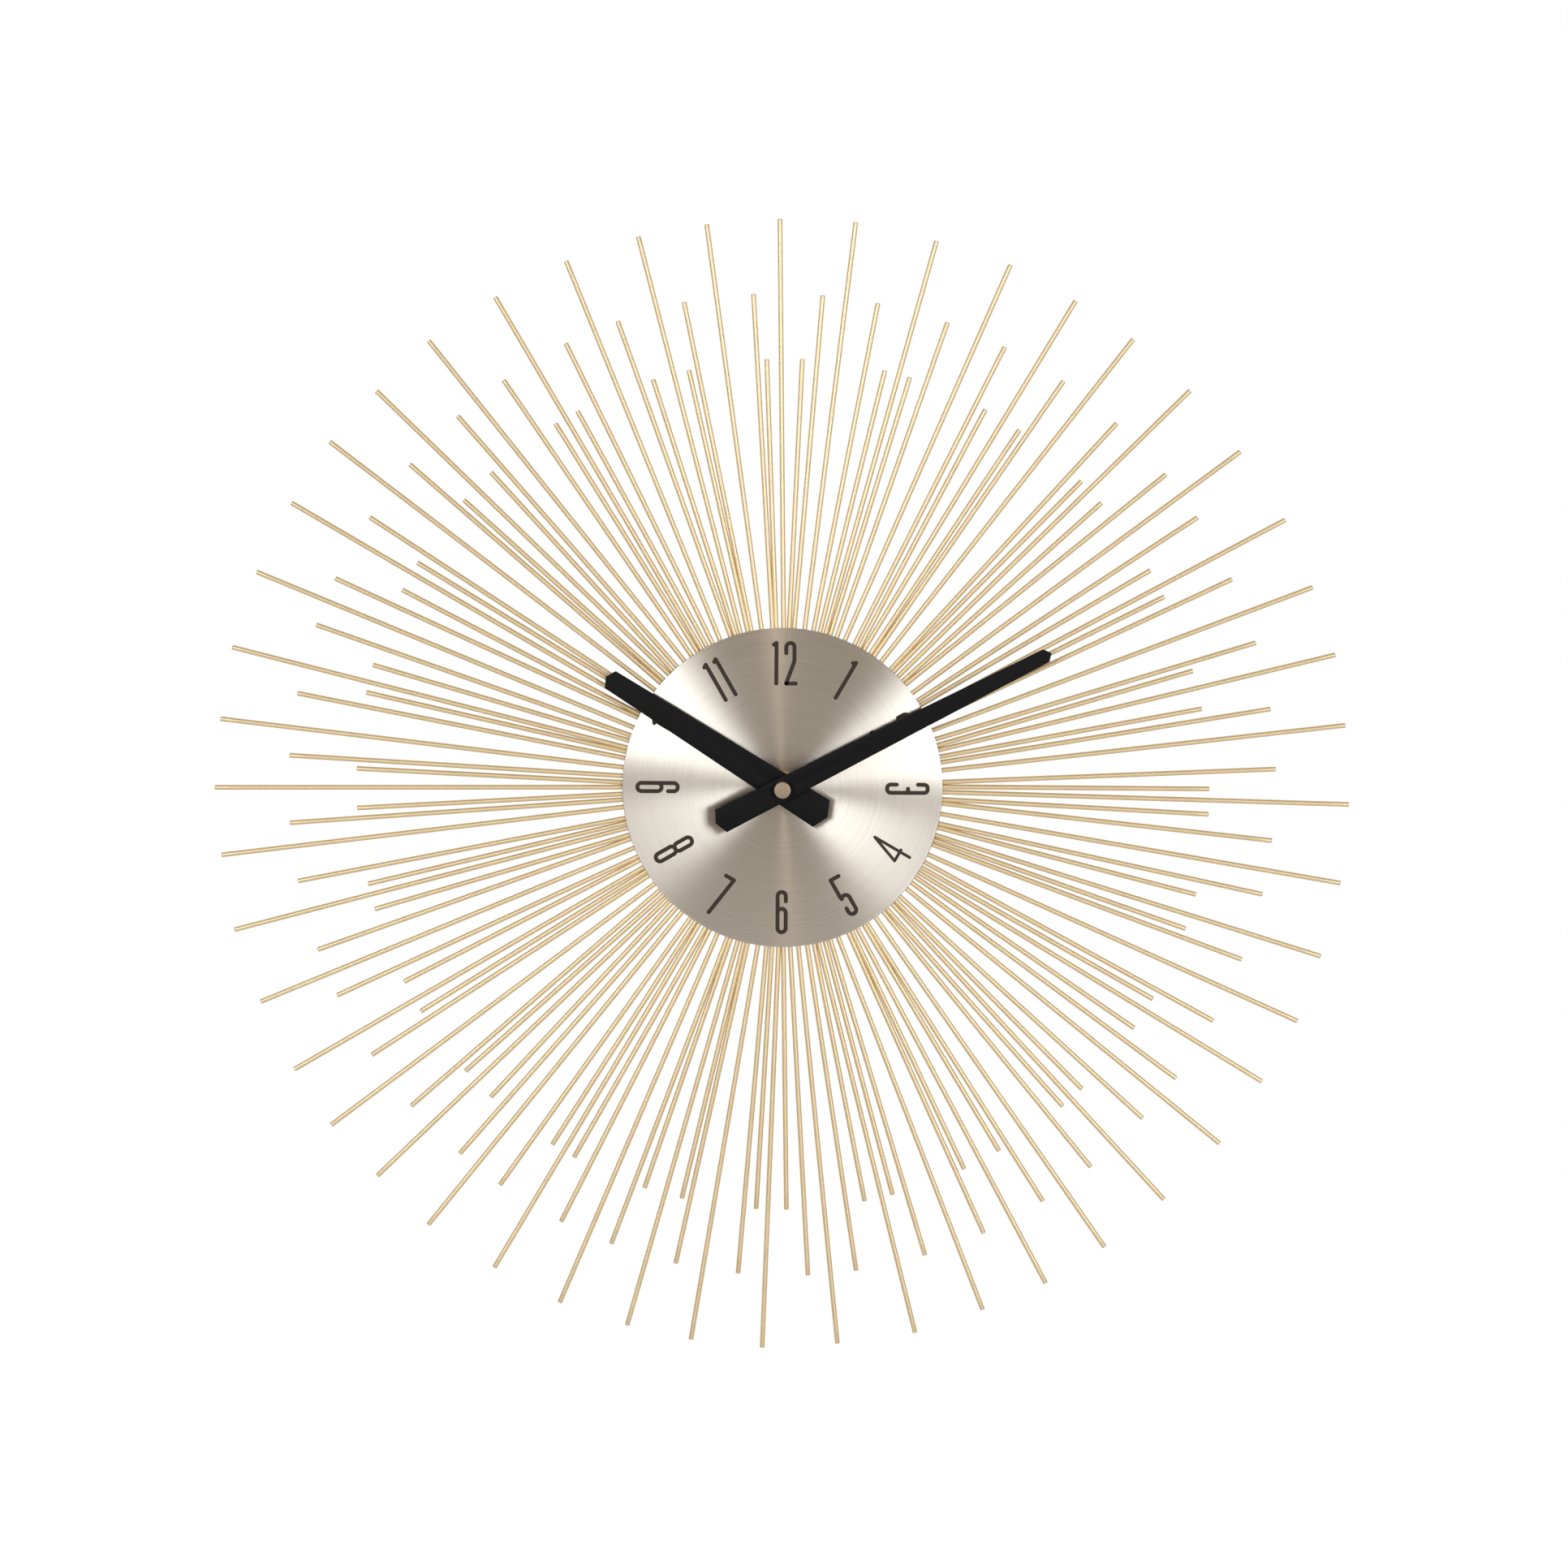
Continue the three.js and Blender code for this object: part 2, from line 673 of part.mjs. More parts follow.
function circuitBoard() {
  const { left, right, bottom, top, depths } = BOARD;
  return block(left, right, bottom, top, depths);
}

add("circuit_board", circuitBoard(), BOARD_GREEN);

function quartzCrystal() {
  const { radius, length, x, y, depth } = CRYSTAL;
  return new THREE.CylinderGeometry(radius, radius, length, 12).translate(x, y, depth);
}

add("quartz_crystal", quartzCrystal(), STEEL);

// A cell lies along x, its positive nub to the left.
function batteryCell() {
  const profile = [
    [0, 0],
    [CELL_NUB_RADIUS, 0],
    [CELL_NUB_RADIUS, CELL_NUB],
    [CELL_RADIUS, CELL_NUB],
    [CELL_RADIUS, CELL_LENGTH],
    [0, CELL_LENGTH],
  ];
  const points = profile.map(([radius, x]) => new THREE.Vector2(radius, x));
  const cell = new THREE.LatheGeometry(points, 24).rotateZ(-Math.PI / 2);
  return cell.translate(CELL_LEFT, CELL_UP, CELL_DEPTH);
}

add("battery_cell", batteryCell(), CELL_WRAP);

// A flat steel strip: a pad behind the cell's nub and a tail up to the circuit board.
function positiveContact() {
  const strip = polygon([
    [-3.5, -25],
    [-3.5, -12],
    [-7.5, -12],
    [-7.5, 12],
    [-9, 12],
    [-9, -12],
    [-11, -12],
    [-11, -25],
  ]);
  const options = { depth: CONTACT_THICKNESS, bevelEnabled: false };
  return new THREE.ExtrudeGeometry(strip, options).rotateY(Math.PI / 2).translate(CONTACT_LEFT, 0, 0);
}

add("positive_contact", positiveContact(), STEEL);

// A conical spring that presses on the cell's flat end.
class ConicalHelix extends THREE.Curve {
  getPoint(share, target = new THREE.Vector3()) {
    const turns = 2.5;
    const radius = 4.6 - 2.2 * share;
    const angle = 2 * Math.PI * turns * share;
    const x = CASE_HALF - CASE_WALL - 0.35 - 1.75 * share;
    return target.set(x, CELL_UP + radius * Math.cos(angle), CELL_DEPTH + radius * Math.sin(angle));
  }
}

function contactSpring() {
  const wireRadius = 0.25;
  const corners = Array.from({ length: 5 }, (_, i) => along([0, 0], wireRadius, 72 * i));
  const section = polygon(corners);
  const options = { steps: 30, bevelEnabled: false, extrudePath: new ConicalHelix() };
  return new THREE.ExtrudeGeometry(section, options);
}

add("negative_contact_spring", contactSpring(), STEEL);

// ---- movement shells ----

function chamferedSquare(half, corner, bottom) {
  const points = [
    [-half, bottom + (bottom === -half ? corner : 0)],
    [half, bottom + (bottom === -half ? corner : 0)],
    [half, half - corner],
    [half - corner, half],
    [corner - half, half],
    [-half, half - corner],
  ];
  if (bottom === -half) points.splice(1, 0, [corner - half, bottom], [half - corner, bottom]);
  return polygon(points);
}

function movementCase() {
  const inside = CASE_HALF - CASE_WALL;
  const [rear, front] = DEPTH.caseInside;
  const shell = slab(chamferedSquare(CASE_HALF, CASE_CORNER, -CASE_HALF), DEPTH.case);
  const batteryBay = block(-inside, inside, -inside, BAY_TOP, [rear - 1, front]);
  const trainRoom = block(-inside, inside, TRAIN_FLOOR, inside, [rear - 1, front]);
  const contactNotch = block(-inside, -inside + 0.8, BAY_TOP - 1, TRAIN_FLOOR + 1, [rear - 1, 9.4]);
  const bushHole = cylinder(BUSH_HOLE, [14, 17], 24);
  const motionPivot = cylinder(PIVOT_HOLE, [14, 15.4], 10, MOTION_AT);
  const settingPivot = cylinder(PIVOT_HOLE, [14, 15.4], 10, SETTING_AT);
  return cut(shell, batteryBay, trainRoom, contactNotch, bushHole, motionPivot, settingPivot);
}

add("movement_case", movementCase(), BLACK_PLASTIC);

function rearCover() {
  const bossRadius = 1.6;
  const bossFront = 2.6;
  const plate = slab(chamferedSquare(CASE_HALF, CASE_CORNER, BAY_TOP), DEPTH.cover);
  const cup = cylinder(CUP_RADIUS + CUP_WALL, [DEPTH.cover[0], CUP_FLOOR[1]], 24, SETTING_AT);
  const recess = cylinder(CUP_RADIUS, [-1, CUP_FLOOR[0]], 24, SETTING_AT);
  const stemHole = cylinder(STEM_RADIUS + 0.15, [2, 5], 12, SETTING_AT);
  const arbors = [[0, 0], THIRD_AT, INTERMEDIATE_AT, ROTOR_AT];
  const bosses = arbors.map((at) => cylinder(bossRadius, [1, bossFront], 12, at));
  const pivots = arbors.map((at) => cylinder(PIVOT_HOLE, [1, bossFront + 1], 10, at));
  return cut(joined(plate, cup, ...bosses), recess, stemHole, ...pivots);
}

add("rear_cover", rearCover(), BLACK_PLASTIC);

// The bridge parts the going train from the motion work and carries the front pivots.
function trainBridge() {
  const inside = CASE_HALF - CASE_WALL;
  const plate = block(-inside, inside, TRAIN_FLOOR, BRIDGE_TOP, BRIDGE);
  const hole = (radius, at) => cylinder(radius, [BRIDGE[0] - 1, BRIDGE[1] + 1], 12, at);
  return cut(
    plate,
    hole(MINUTE_ARBOR_RADIUS + 0.15, [0, 0]),
    hole(PIVOT_HOLE, THIRD_AT),
    hole(PIVOT_HOLE, INTERMEDIATE_AT),
    hole(PIVOT_HOLE, ROTOR_AT),
    hole(STEM_RADIUS + 0.15, SETTING_AT),
  );
}

add("train_bridge", trainBridge(), WHITE_PLASTIC);

const group = new THREE.Group();
group.add(clock);

export default group;
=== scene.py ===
# Looks for the sunburst wall clock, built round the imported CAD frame.
# Shapes are made in clock millimetres: x to the right, y up and depth out of the wall towards the viewer.

import json
import math

import bmesh
import bpy
import numpy as np
from mathutils import Matrix, Vector


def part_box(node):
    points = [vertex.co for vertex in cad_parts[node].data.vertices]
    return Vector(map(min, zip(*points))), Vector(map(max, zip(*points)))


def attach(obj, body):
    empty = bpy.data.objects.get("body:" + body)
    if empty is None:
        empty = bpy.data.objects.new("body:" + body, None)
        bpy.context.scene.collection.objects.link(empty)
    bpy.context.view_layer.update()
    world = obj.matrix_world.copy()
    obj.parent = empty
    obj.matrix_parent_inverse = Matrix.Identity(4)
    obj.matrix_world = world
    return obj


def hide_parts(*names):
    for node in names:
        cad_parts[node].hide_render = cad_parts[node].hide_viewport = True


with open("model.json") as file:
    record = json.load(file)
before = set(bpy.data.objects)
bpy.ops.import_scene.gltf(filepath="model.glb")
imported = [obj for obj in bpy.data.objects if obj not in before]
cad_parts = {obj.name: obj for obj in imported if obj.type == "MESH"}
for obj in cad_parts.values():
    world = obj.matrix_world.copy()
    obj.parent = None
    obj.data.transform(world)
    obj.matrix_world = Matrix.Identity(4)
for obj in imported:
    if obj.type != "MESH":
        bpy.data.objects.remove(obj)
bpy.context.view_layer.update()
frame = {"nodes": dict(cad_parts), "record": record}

MM = 0.001

# Sizes are in millimetres and angles in degrees, unless a comment says otherwise.

# ---- rods: clusters of five, with one lone long rod between clusters ----

LONG = 241
MEDIUM = 209.7
SHORT = 181.7
ROD_RADIUS = 1.05
ROD_START = 61
ROD_DEPTH = 20.3
ROD_END = 0.3
ROD_STEP = 8
ROD_SIDES = 20
CLUSTERS = 24
CLUSTER_STEP = 360 / CLUSTERS
CLUSTER_RODS = ((-4.06, MEDIUM), (-2.18, SHORT), (0, LONG), (2.18, SHORT), (4.06, MEDIUM), (7.5, LONG))

# Hand welding turns the fan a little, and leaves each rod slightly off its place: (how far, how it repeats).
FAN_TURN = 0.9
FAN_DRIFT = 1.2
FAN_DRIFT_PHASE = 35
FOOT_WANDER = (0.35, 2.4)
TIP_WANDER = (0.5, 1.7)
REACH_WANDER = (0.5, 3.3)

# The braze bead is thin between the rods and swells where it wets one.
BEAD_RADIUS = 61.5
BEAD_HALF_BREADTH = 2.5
BEAD_HALF_DEPTH = 1.1
BEAD_SPAN = (-5.5, 8.9)
BEAD_THIN = 0.78
BEAD_SWELL = 0.2
BEAD_SWELL_SPAN = 0.7
BEAD_BLUNTNESS = 14

# ---- hands, clockwise from twelve ----

MINUTE_HAND = {
    "angle": 63, "tail": 31.85, "tip": 127.7, "widths": (11, 6), "points": (2.6, 2.5), "bore": 1.25,
}
HOUR_HAND = {
    "angle": 302.5, "tail": 22.65, "tip": 88.8, "widths": (13.5, 8.6), "points": (3.1, 2.3), "bore": 2.6,
}
HAND_EDGE = 0.16
CAP_BORE = 1.25
CAP_CROWN = 1
CAP_EDGE = 0.35

# ---- dial and numerals ----

DIAL_COLOUR = (0.80, 0.775, 0.73)
DIAL_ROUGHNESS = 0.3
DIAL_BRUSH = 1.0
DIAL_EDGE = 0.35
NUMERAL_RADIUS = 53.1
NUMERAL_TURN = 0.4
NUMERAL_HEIGHT = 17.2
NUMERAL_WIDTH = 3.5
NUMERAL_STEPS = {"10": 5.3, "11": 4.8, "12": 5.9}
STROKE = 1.72
THIN_STROKE = 1.3
INK_SUNK = 0.02
INK_THICKNESS = 0.06

# ---- the stack on the bush ----

BUSH_RADIUS = 4
BUSH_HOLE = 4.15
BUSH_BORE = 2.7
FLANGE_FRONT = 14.8
THREAD_PITCH = 0.75
THREAD_GROOVE = 0.34
THREAD_ROWS = 110

# ---- movement shells ----

CASE_WALL = 1.2
CASE_CORNER = 2
CASE_FLOOR = 14.8
CASE_EDGE = 0.25
BAY_CORNER = 0.6
STRIP_SLOT = 0.8
STRIP_SLOT_FRONT = 9.4
THUMB_RADIUS = 9
THUMB_SET_BACK = 1.5
LATCH_HALF = 2.3
LATCH_ACROSS = (-13, 13)
LATCH_UP = (-4, 17)
LATCH_FRONT = 5.6
LATCH_THICKNESS = 0.4
LATCH_EASE = 0.05
GROOVE_FRONT = 6
GROOVE_DEPTH = 0.5
GROOVE_EASE = 0.3
CUP_RADIUS = 7.5
CUP_WALL = 1
CUP_FLOOR = (3.2, 4)
CUP_EASE = 0.3
BOSS_RADIUS = 1.6
BOSS_ROOT = 0.6
BOSS_FRONT = 2.6
BOSS_EDGE = 0.1
BOSS_POCKET = (1.1, 0.8)
PIVOT_HOLE = 0.65
PIVOT_FLOOR = 1
STEM_HOLE = 1.15
ENGRAVED = 0.22
MARK_ACROSS = 22
MARK_UP = 3.4
MARK_SIZE = 1.7
MARK_WIDTH = 0.3
ARROW_RADIUS = 10.3
ARROW_HEAD = (1.1, 9)
ARROW_SPAN = (130, 230)
KNOB_KNURLS = 20
KNOB_KNURL_DEPTH = 0.5
KNOB_DISH = (3.8, 0.6)
KNOB_SOCKET = (1.05, 1.2)

# Cutters have almost sharp edges and start well outside the piece they cut.
SHARP = 0.01
OUTSIDE = 1

# Turns that lay a piece's depth axis along x, or stand it along y.
ALONG_X = ((0, 0, 1), (0, 1, 0), (-1, 0, 0))
ALONG_Y = ((1, 0, 0), (0, 0, 1), (0, -1, 0))

# ---- cell, contacts and circuit board ----

CELL_NUB = 1.2
SLEEVE_INSET = 0.35
PALE_BAND = (36, 40)
SPRING_TURNS = 2.5
SPRING_WIRE = 0.25
SPRING_RADII = (4.6, 2.4)
SPRING_GAP = 0.35
SPRING_REACH = 1.75
# Places on the board are measured from its left and top edges.
CHIP_AT = (3.1, -3.9)
COIL_FEET = ((11.3, -9.5), (11.3, -12))
CONTACT_FEET = ((1.6, -15.5),)
CHIP_RADIUS = 2.3
CHIP_HEIGHT = 1.1
SOLDER_RADIUS = 0.75
SOLDER_HEIGHT = 0.45
LEAD_RADIUS = 0.18
LEAD_SPREAD = 0.9
LEAD_REACH = 1.4

# ---- camera, floor and light, with lengths in metres ----

VIEW_ELEVATION = 5
VIEW_WIDTH = 0.666
LENS = 135
SENSOR = 36
AIM = Vector((0.00064, -0.024, 0.0018))
FLOOR_UP = -0.9
FLOOR_RADIUS = 1.6
FRONT_ROOM = (0.35, 0.30, 0.24)
BACK_ROOM = (0.9, 0.88, 0.85)
ROOM_EDGE = (0.35, 0.75)
WHITE = (1, 1, 1)
WARM = (1, 0.8, 0.6)
LIGHT_DISTANCE = 2.4
# Each light: its clock angle seen from the dial, degrees off the hands' axis, size, watts and colour.
LIGHTS = {
    "light_right": (77, 30, (0.85, 0.85), 17.5, WHITE),
    "light_left": (292, 27, (0.8, 0.9), 17.5, WHITE),
    "light_low": (102, 28, (0.5, 0.8), 1.3, WHITE),
    "light_above": (357, 34, (0.05, 1.0), 1.2, WARM),
}

# The part of a noise pattern's values that a look spreads over its full range.
WIDE = (0.3, 0.7)
TIGHT = (0.35, 0.65)


# ---- places ----

def depths(node):
    """A CAD node's rear and front, in millimetres from the wall."""
    low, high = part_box(node)
    return -high.y / MM, -low.y / MM


def edges_of(node):
    """The left, right, bottom and top of a CAD node's box."""
    low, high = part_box(node)
    return low.x / MM, high.x / MM, low.z / MM, high.z / MM


def half_width(node):
    low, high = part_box(node)
    return (high.x - low.x) / 2 / MM


def centre_of(node):
    """The middle of a CAD node's box, across and up."""
    low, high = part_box(node)
    return (low.x + high.x) / 2 / MM, (low.z + high.z) / 2 / MM


def clock_point(radius, angle):
    """A point at a clock angle, in degrees clockwise from twelve."""
    turn = math.radians(angle)
    return radius * math.sin(turn), radius * math.cos(turn)


def placed(name, data):
    """A new object in the scene that holds a mesh, a light or the camera."""
    thing = bpy.data.objects.new(name, data)
    bpy.context.scene.collection.objects.link(thing)
    return thing


# ---- mesh helpers, all in clock millimetres ----

def mesh_from(points, faces):
    mesh = bpy.data.meshes.new("part")
    mesh.from_pydata([tuple(map(float, p)) for p in points], [], [tuple(map(int, f)) for f in faces])
    return tidied(mesh)


def tidied(mesh, distance=1e-4):
    """Welds doubled points and turns the faces outwards."""
    work = bmesh.new()
    work.from_mesh(mesh)
    bmesh.ops.remove_doubles(work, verts=work.verts, dist=distance)
    bmesh.ops.dissolve_degenerate(work, edges=work.edges, dist=distance)
    bmesh.ops.recalc_face_normals(work, faces=work.faces)
    work.to_mesh(mesh)
    work.free()
    return mesh


def merged(*meshes):
    """One mesh that holds several separate closed shells."""
    work = bmesh.new()
    for mesh in meshes:
        work.from_mesh(mesh)
    whole = bpy.data.meshes.new("part")
    work.to_mesh(whole)
    work.free()
    return whole


def moved(mesh, x=0, y=0, turn=0):
    """Turns a mesh clockwise as seen from the front, then shifts it across and up."""
    angle = math.radians(-turn)
    cosine, sine = math.cos(angle), math.sin(angle)
    for vertex in mesh.vertices:
        across, up, depth = vertex.co
        vertex.co = (cosine * across - sine * up + x, sine * across + cosine * up + y, depth)
    return mesh


def softened(profile, size, steps=3, closed=True):
    """A profile with its corners rounded. Points on the axis stay."""
    count = len(profile)
    result = []
    for i, corner in enumerate(profile):
        corner = Vector(corner)
        at_end = not closed and i in (0, count - 1)
        if at_end or abs(corner.x) < 1e-9:
            result.append(tuple(corner))
            continue
        before = Vector(profile[i - 1]) - corner
        after = Vector(profile[(i + 1) % count]) - corner
        reach = min(size, before.length * 0.45, after.length * 0.45)
        start = corner + before.normalized() * reach
        end = corner + after.normalized() * reach
        for k in range(steps + 1):
            t = k / steps
            result.append(tuple(start * (1 - t) ** 2 + corner * 2 * t * (1 - t) + end * t * t))
    return result


def turned(profile, segments=64, closed=True):
    """A piece turned on the depth axis from (radius, depth) points."""
    count = len(profile)
    points = []
    rows = []
    for radius, depth in profile:
        if radius < 1e-9:
            rows.append([len(points)] * segments)
            points.append((0, 0, depth))
            continue
        rows.append([len(points) + k for k in range(segments)])
        for k in range(segments):
            angle = 2 * math.pi * k / segments
            points.append((radius * math.cos(angle), radius * math.sin(angle), depth))
    faces = []
    for i in range(count if closed else count - 1):
        a, b = rows[i], rows[(i + 1) % count]
        for k in range(segments):
            n = (k + 1) % segments
            corners = list(dict.fromkeys((a[k], a[n], b[n], b[k])))
            if len(corners) > 2:
                faces.append(corners)
    return mesh_from(points, faces)


def ring_profile(outer, inner, rear, front):
    return [(inner, rear), (outer, rear), (outer, front), (inner, front)]


def disc_profile(radius, rear, front):
    return [(0, rear), (radius, rear), (radius, front), (0, front)]


def disc(radius, rear, front, edge, segments):
    return turned(softened(disc_profile(radius, rear, front), edge, closed=False), segments, closed=False)


def arc(x, y, radius, start, end, steps=12, tall=None):
    """Points on an arc, in degrees anticlockwise from the right."""
    points = []
    for k in range(steps + 1):
        angle = math.radians(start + (end - start) * k / steps)
        points.append((x + radius * math.cos(angle), y + (tall or radius) * math.sin(angle)))
    return points


def circle(radius, steps=48):
    return arc(0, 0, radius, 0, 360 * (steps - 1) / steps, steps - 1)


def plate(outlines, rear, front, bevel, steps):
    """A flat plate with rounded edges, from an outline and the holes in it."""
    curve = bpy.data.curves.new("plate", "CURVE")
    curve.dimensions = "2D"
    curve.fill_mode = "BOTH"
    curve.extrude = (front - rear) / 2 - bevel
    curve.bevel_depth = bevel
    curve.bevel_resolution = steps
    curve.offset = -bevel
    for outline in outlines:
        spline = curve.splines.new("POLY")
        spline.points.add(len(outline) - 1)
        for point, (x, y) in zip(spline.points, outline):
            point.co = (x, y, 0, 1)
        spline.use_cyclic_u = True
    holder = bpy.data.objects.new("plate", curve)
    mesh = bpy.data.meshes.new_from_object(holder)
    bpy.data.objects.remove(holder)
    bpy.data.curves.remove(curve)
    mesh.transform(Matrix.Translation((0, 0, (rear + front) / 2)))
    return tidied(mesh)


def combined(operation, base, *tools):
    """A boolean of meshes, made with the exact solver."""
    host = placed("host", base)
    others = []
    for tool in tools:
        other = placed("tool", tool)
        modifier = host.modifiers.new("boolean", "BOOLEAN")
        modifier.operation = operation
        modifier.object = other
        modifier.solver = "EXACT"
        others.append(other)
    graph = bpy.context.evaluated_depsgraph_get()
    result = bpy.data.meshes.new_from_object(host.evaluated_get(graph))
    for thing in [host, *others]:
        bpy.data.objects.remove(thing)
    result.materials.clear()
    return tidied(result, 1e-3)


def joined(base, *tools):
    return combined("UNION", base, *tools)


def cut(base, *tools):
    return combined("DIFFERENCE", base, *tools)


def shown(name, mesh, look, body, stands_for=None, smooth=30, edge=0):
    """Puts a finished mesh in the scene as a piece that rides on a body, in metres and the frame's axes."""
    points = np.empty(len(mesh.vertices) * 3)
    mesh.vertices.foreach_get("co", points)
    across, up, depth = points.reshape(-1, 3).T
    world = np.column_stack((across, -depth, up)) * MM
    mesh.vertices.foreach_set("co", world.ravel())
    mesh.update()
    mesh.name = name
    mesh.materials.clear()
    mesh.materials.append(look)
    for polygon in mesh.polygons:
        polygon.use_smooth = True
        polygon.material_index = 0
    mesh.set_sharp_from_angle(angle=math.radians(smooth))
    piece = placed(name, mesh)
    if edge:
        modifier = piece.modifiers.new("edge", "BEVEL")
        modifier.width = edge * MM
        modifier.segments = 2
        modifier.limit_method = "ANGLE"
        modifier.angle_limit = math.radians(40)
        modifier.harden_normals = True
    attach(piece, body)
    if stands_for:
        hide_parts(stands_for)


# ---- materials ----

class Look:
    """A Principled material whose even values sit on the shader's own sockets."""

    def __init__(self, name, colour, metallic=0.0, roughness=0.5, **even):
        self.material = bpy.data.materials.new(name)
        self.material.use_nodes = True
        self.tree = self.material.node_tree
        self.surface = self.tree.nodes["Principled BSDF"]
        self.surface.inputs["Base Color"].default_value = (*colour, 1)
        self.surface.inputs["Metallic"].default_value = metallic
        self.surface.inputs["Roughness"].default_value = roughness
        for socket, value in even.items():
            self.surface.inputs[socket.replace("_", " ").title().replace("Ior", "IOR")].default_value = value

    def node(self, kind, settings=None, **inputs):
        made = self.tree.nodes.new("ShaderNode" + kind)
        for key, value in (settings or {}).items():
            setattr(made, key, value)
        for key, value in inputs.items():
            self.set(made.inputs[key.replace("_", " ")], value)
        return made

    def set(self, socket, value):
        if isinstance(value, bpy.types.NodeSocket):
            self.tree.links.new(value, socket)
        else:
            socket.default_value = value

    def place(self, stretch=(1, 1, 1)):
        """The point on the piece in millimetres, times a stretch."""
        spot = self.node("TexCoord").outputs["Object"]
        scale = tuple(s / MM for s in stretch)
        return self.node("Mapping", Vector=spot, Scale=scale).outputs["Vector"]

    def noise(self, size, detail, stretch=(1, 1, 1), place=None):
        """A soft random pattern whose patches are about size millimetres across."""
        spot = place or self.place(stretch)
        return self.node("TexNoise", Vector=spot, Scale=1 / size, Detail=detail).outputs["Fac"]

    def vector(self, operation, a, b=(0, 0, 0), kind="VectorMath"):
        made = self.node(kind, {"operation": operation})
        for socket, value in zip(made.inputs, (a, b)):
            self.set(socket, value)
        return made

    def maths(self, operation, a, b):
        return self.vector(operation, a, b, "Math").outputs[0]

    def weighed(self, first, share, second):
        """Two patterns added together, the first with that share."""
        rest = self.maths("MULTIPLY", second, 1 - share)
        return self.maths("ADD", self.maths("MULTIPLY", first, share), rest)

    def between(self, pattern, low, high, start=0.0, end=1.0):
        """The pattern's values from start to end, spread from low to high."""
        spread = {"From_Min": start, "From_Max": end, "To_Min": low, "To_Max": high}
        return self.node("MapRange", Value=pattern, **spread).outputs["Result"]

    def blend(self, share, first, second):
        made = self.node("Mix", {"data_type": "RGBA"}, Factor=share)
        for socket, value in ((made.inputs[6], first), (made.inputs[7], second)):
            self.set(socket, (*value, 1) if isinstance(value, tuple) else value)
        return made.outputs[2]

    def feed(self, socket, value):
        self.tree.links.new(value, self.surface.inputs[socket])

    def colour(self, share, first, second):
        self.feed("Base Color", self.blend(share, first, second))

    def rough(self, pattern, low, high, part=WIDE):
        self.feed("Roughness", self.between(pattern, low, high, *part))

    def bump(self, height, depth):
        """Raises the surface by up to depth millimetres."""
        made = self.node("Bump", Height=height, Strength=1.0, Distance=depth * MM)
        self.feed("Normal", made.outputs["Normal"])


def painted_gold(name, colour, dark, roughness=0.42):
    """Satin champagne paint with fine flake and slight unevenness."""
    coat = {"coat_weight": 1, "coat_roughness": 0.42, "coat_ior": 3.2}
    look = Look(name, colour, metallic=0.6, roughness=roughness, **coat)
    look.colour(look.between(look.noise(14, 3), 0, 1, *TIGHT), colour, dark)
    look.rough(look.noise(0.6, 2), roughness - 0.05, roughness + 0.07)
    look.bump(look.noise(0.35, 2), 0.002)
    return look.material


def dial_metal():
    """Metal brushed in circles round the hands' axis."""
    look = Look(
        "dial_metal", DIAL_COLOUR, metallic=1, roughness=DIAL_ROUGHNESS,
        anisotropic=DIAL_BRUSH, anisotropic_rotation=0.25,
    )
    tangent = look.node("Tangent", {"direction_type": "RADIAL", "axis": "Y"})
    look.feed("Tangent", tangent.outputs["Tangent"])
    spot = look.vector("MULTIPLY", look.place(), (1, 0, 1)).outputs[0]
    radius = look.vector("LENGTH", spot).outputs["Value"]
    heading = look.vector("NORMALIZE", spot).outputs[0]

    def grooves(width, arc_share):
        """Rings of noise: a groove is that wide, and as long as that share of its radius."""
        around = look.vector("SCALE", heading)
        around.inputs["Scale"].default_value = 1 / arc_share
        out = look.node("CombineXYZ", Y=look.maths("MULTIPLY", radius, 1 / width)).outputs[0]
        return look.noise(1, 1.0, place=look.vector("ADD", around.outputs[0], out).outputs[0])

    fine = grooves(0.16, 0.8)
    broad = grooves(0.5, 1.4)
    shade = look.between(look.weighed(fine, 0.65, broad), 0, 1, *WIDE)
    look.colour(shade, tuple(c * 0.84 for c in DIAL_COLOUR), DIAL_COLOUR)
    look.rough(fine, DIAL_ROUGHNESS - 0.02, DIAL_ROUGHNESS + 0.02)
    look.bump(fine, 0.002)
    return look.material


def black_paint():
    look = Look("hand_black", (0.002, 0.002, 0.003), roughness=0.5, specular_ior_level=0.14)
    look.rough(look.noise(0.5, 2), 0.45, 0.56)
    look.bump(look.noise(0.25, 2), 0.006)
    return look.material


def brushed_cap():
    look = Look("cap_brass", (0.34, 0.27, 0.20), metallic=0.8, roughness=0.45)
    look.colour(look.noise(1.5, 2), (0.32, 0.25, 0.185), (0.36, 0.29, 0.22))
    look.rough(look.noise(0.3, 2), 0.42, 0.48)
    return look.material


def turned_brass():
    look = Look("turned_brass", (0.69, 0.55, 0.30), metallic=1, roughness=0.3)
    look.colour(look.noise(0.25, 1, stretch=(0.2, 4, 0.2)), (0.60, 0.46, 0.24), (0.74, 0.60, 0.34))
    look.rough(look.noise(2, 3), 0.24, 0.38)
    return look.material


def ink():
    look = Look("numeral_ink", (0.030, 0.020, 0.014), roughness=0.6, specular_ior_level=0.3)
    look.colour(look.noise(0.4, 3), (0.024, 0.016, 0.011), (0.038, 0.026, 0.019))
    return look.material


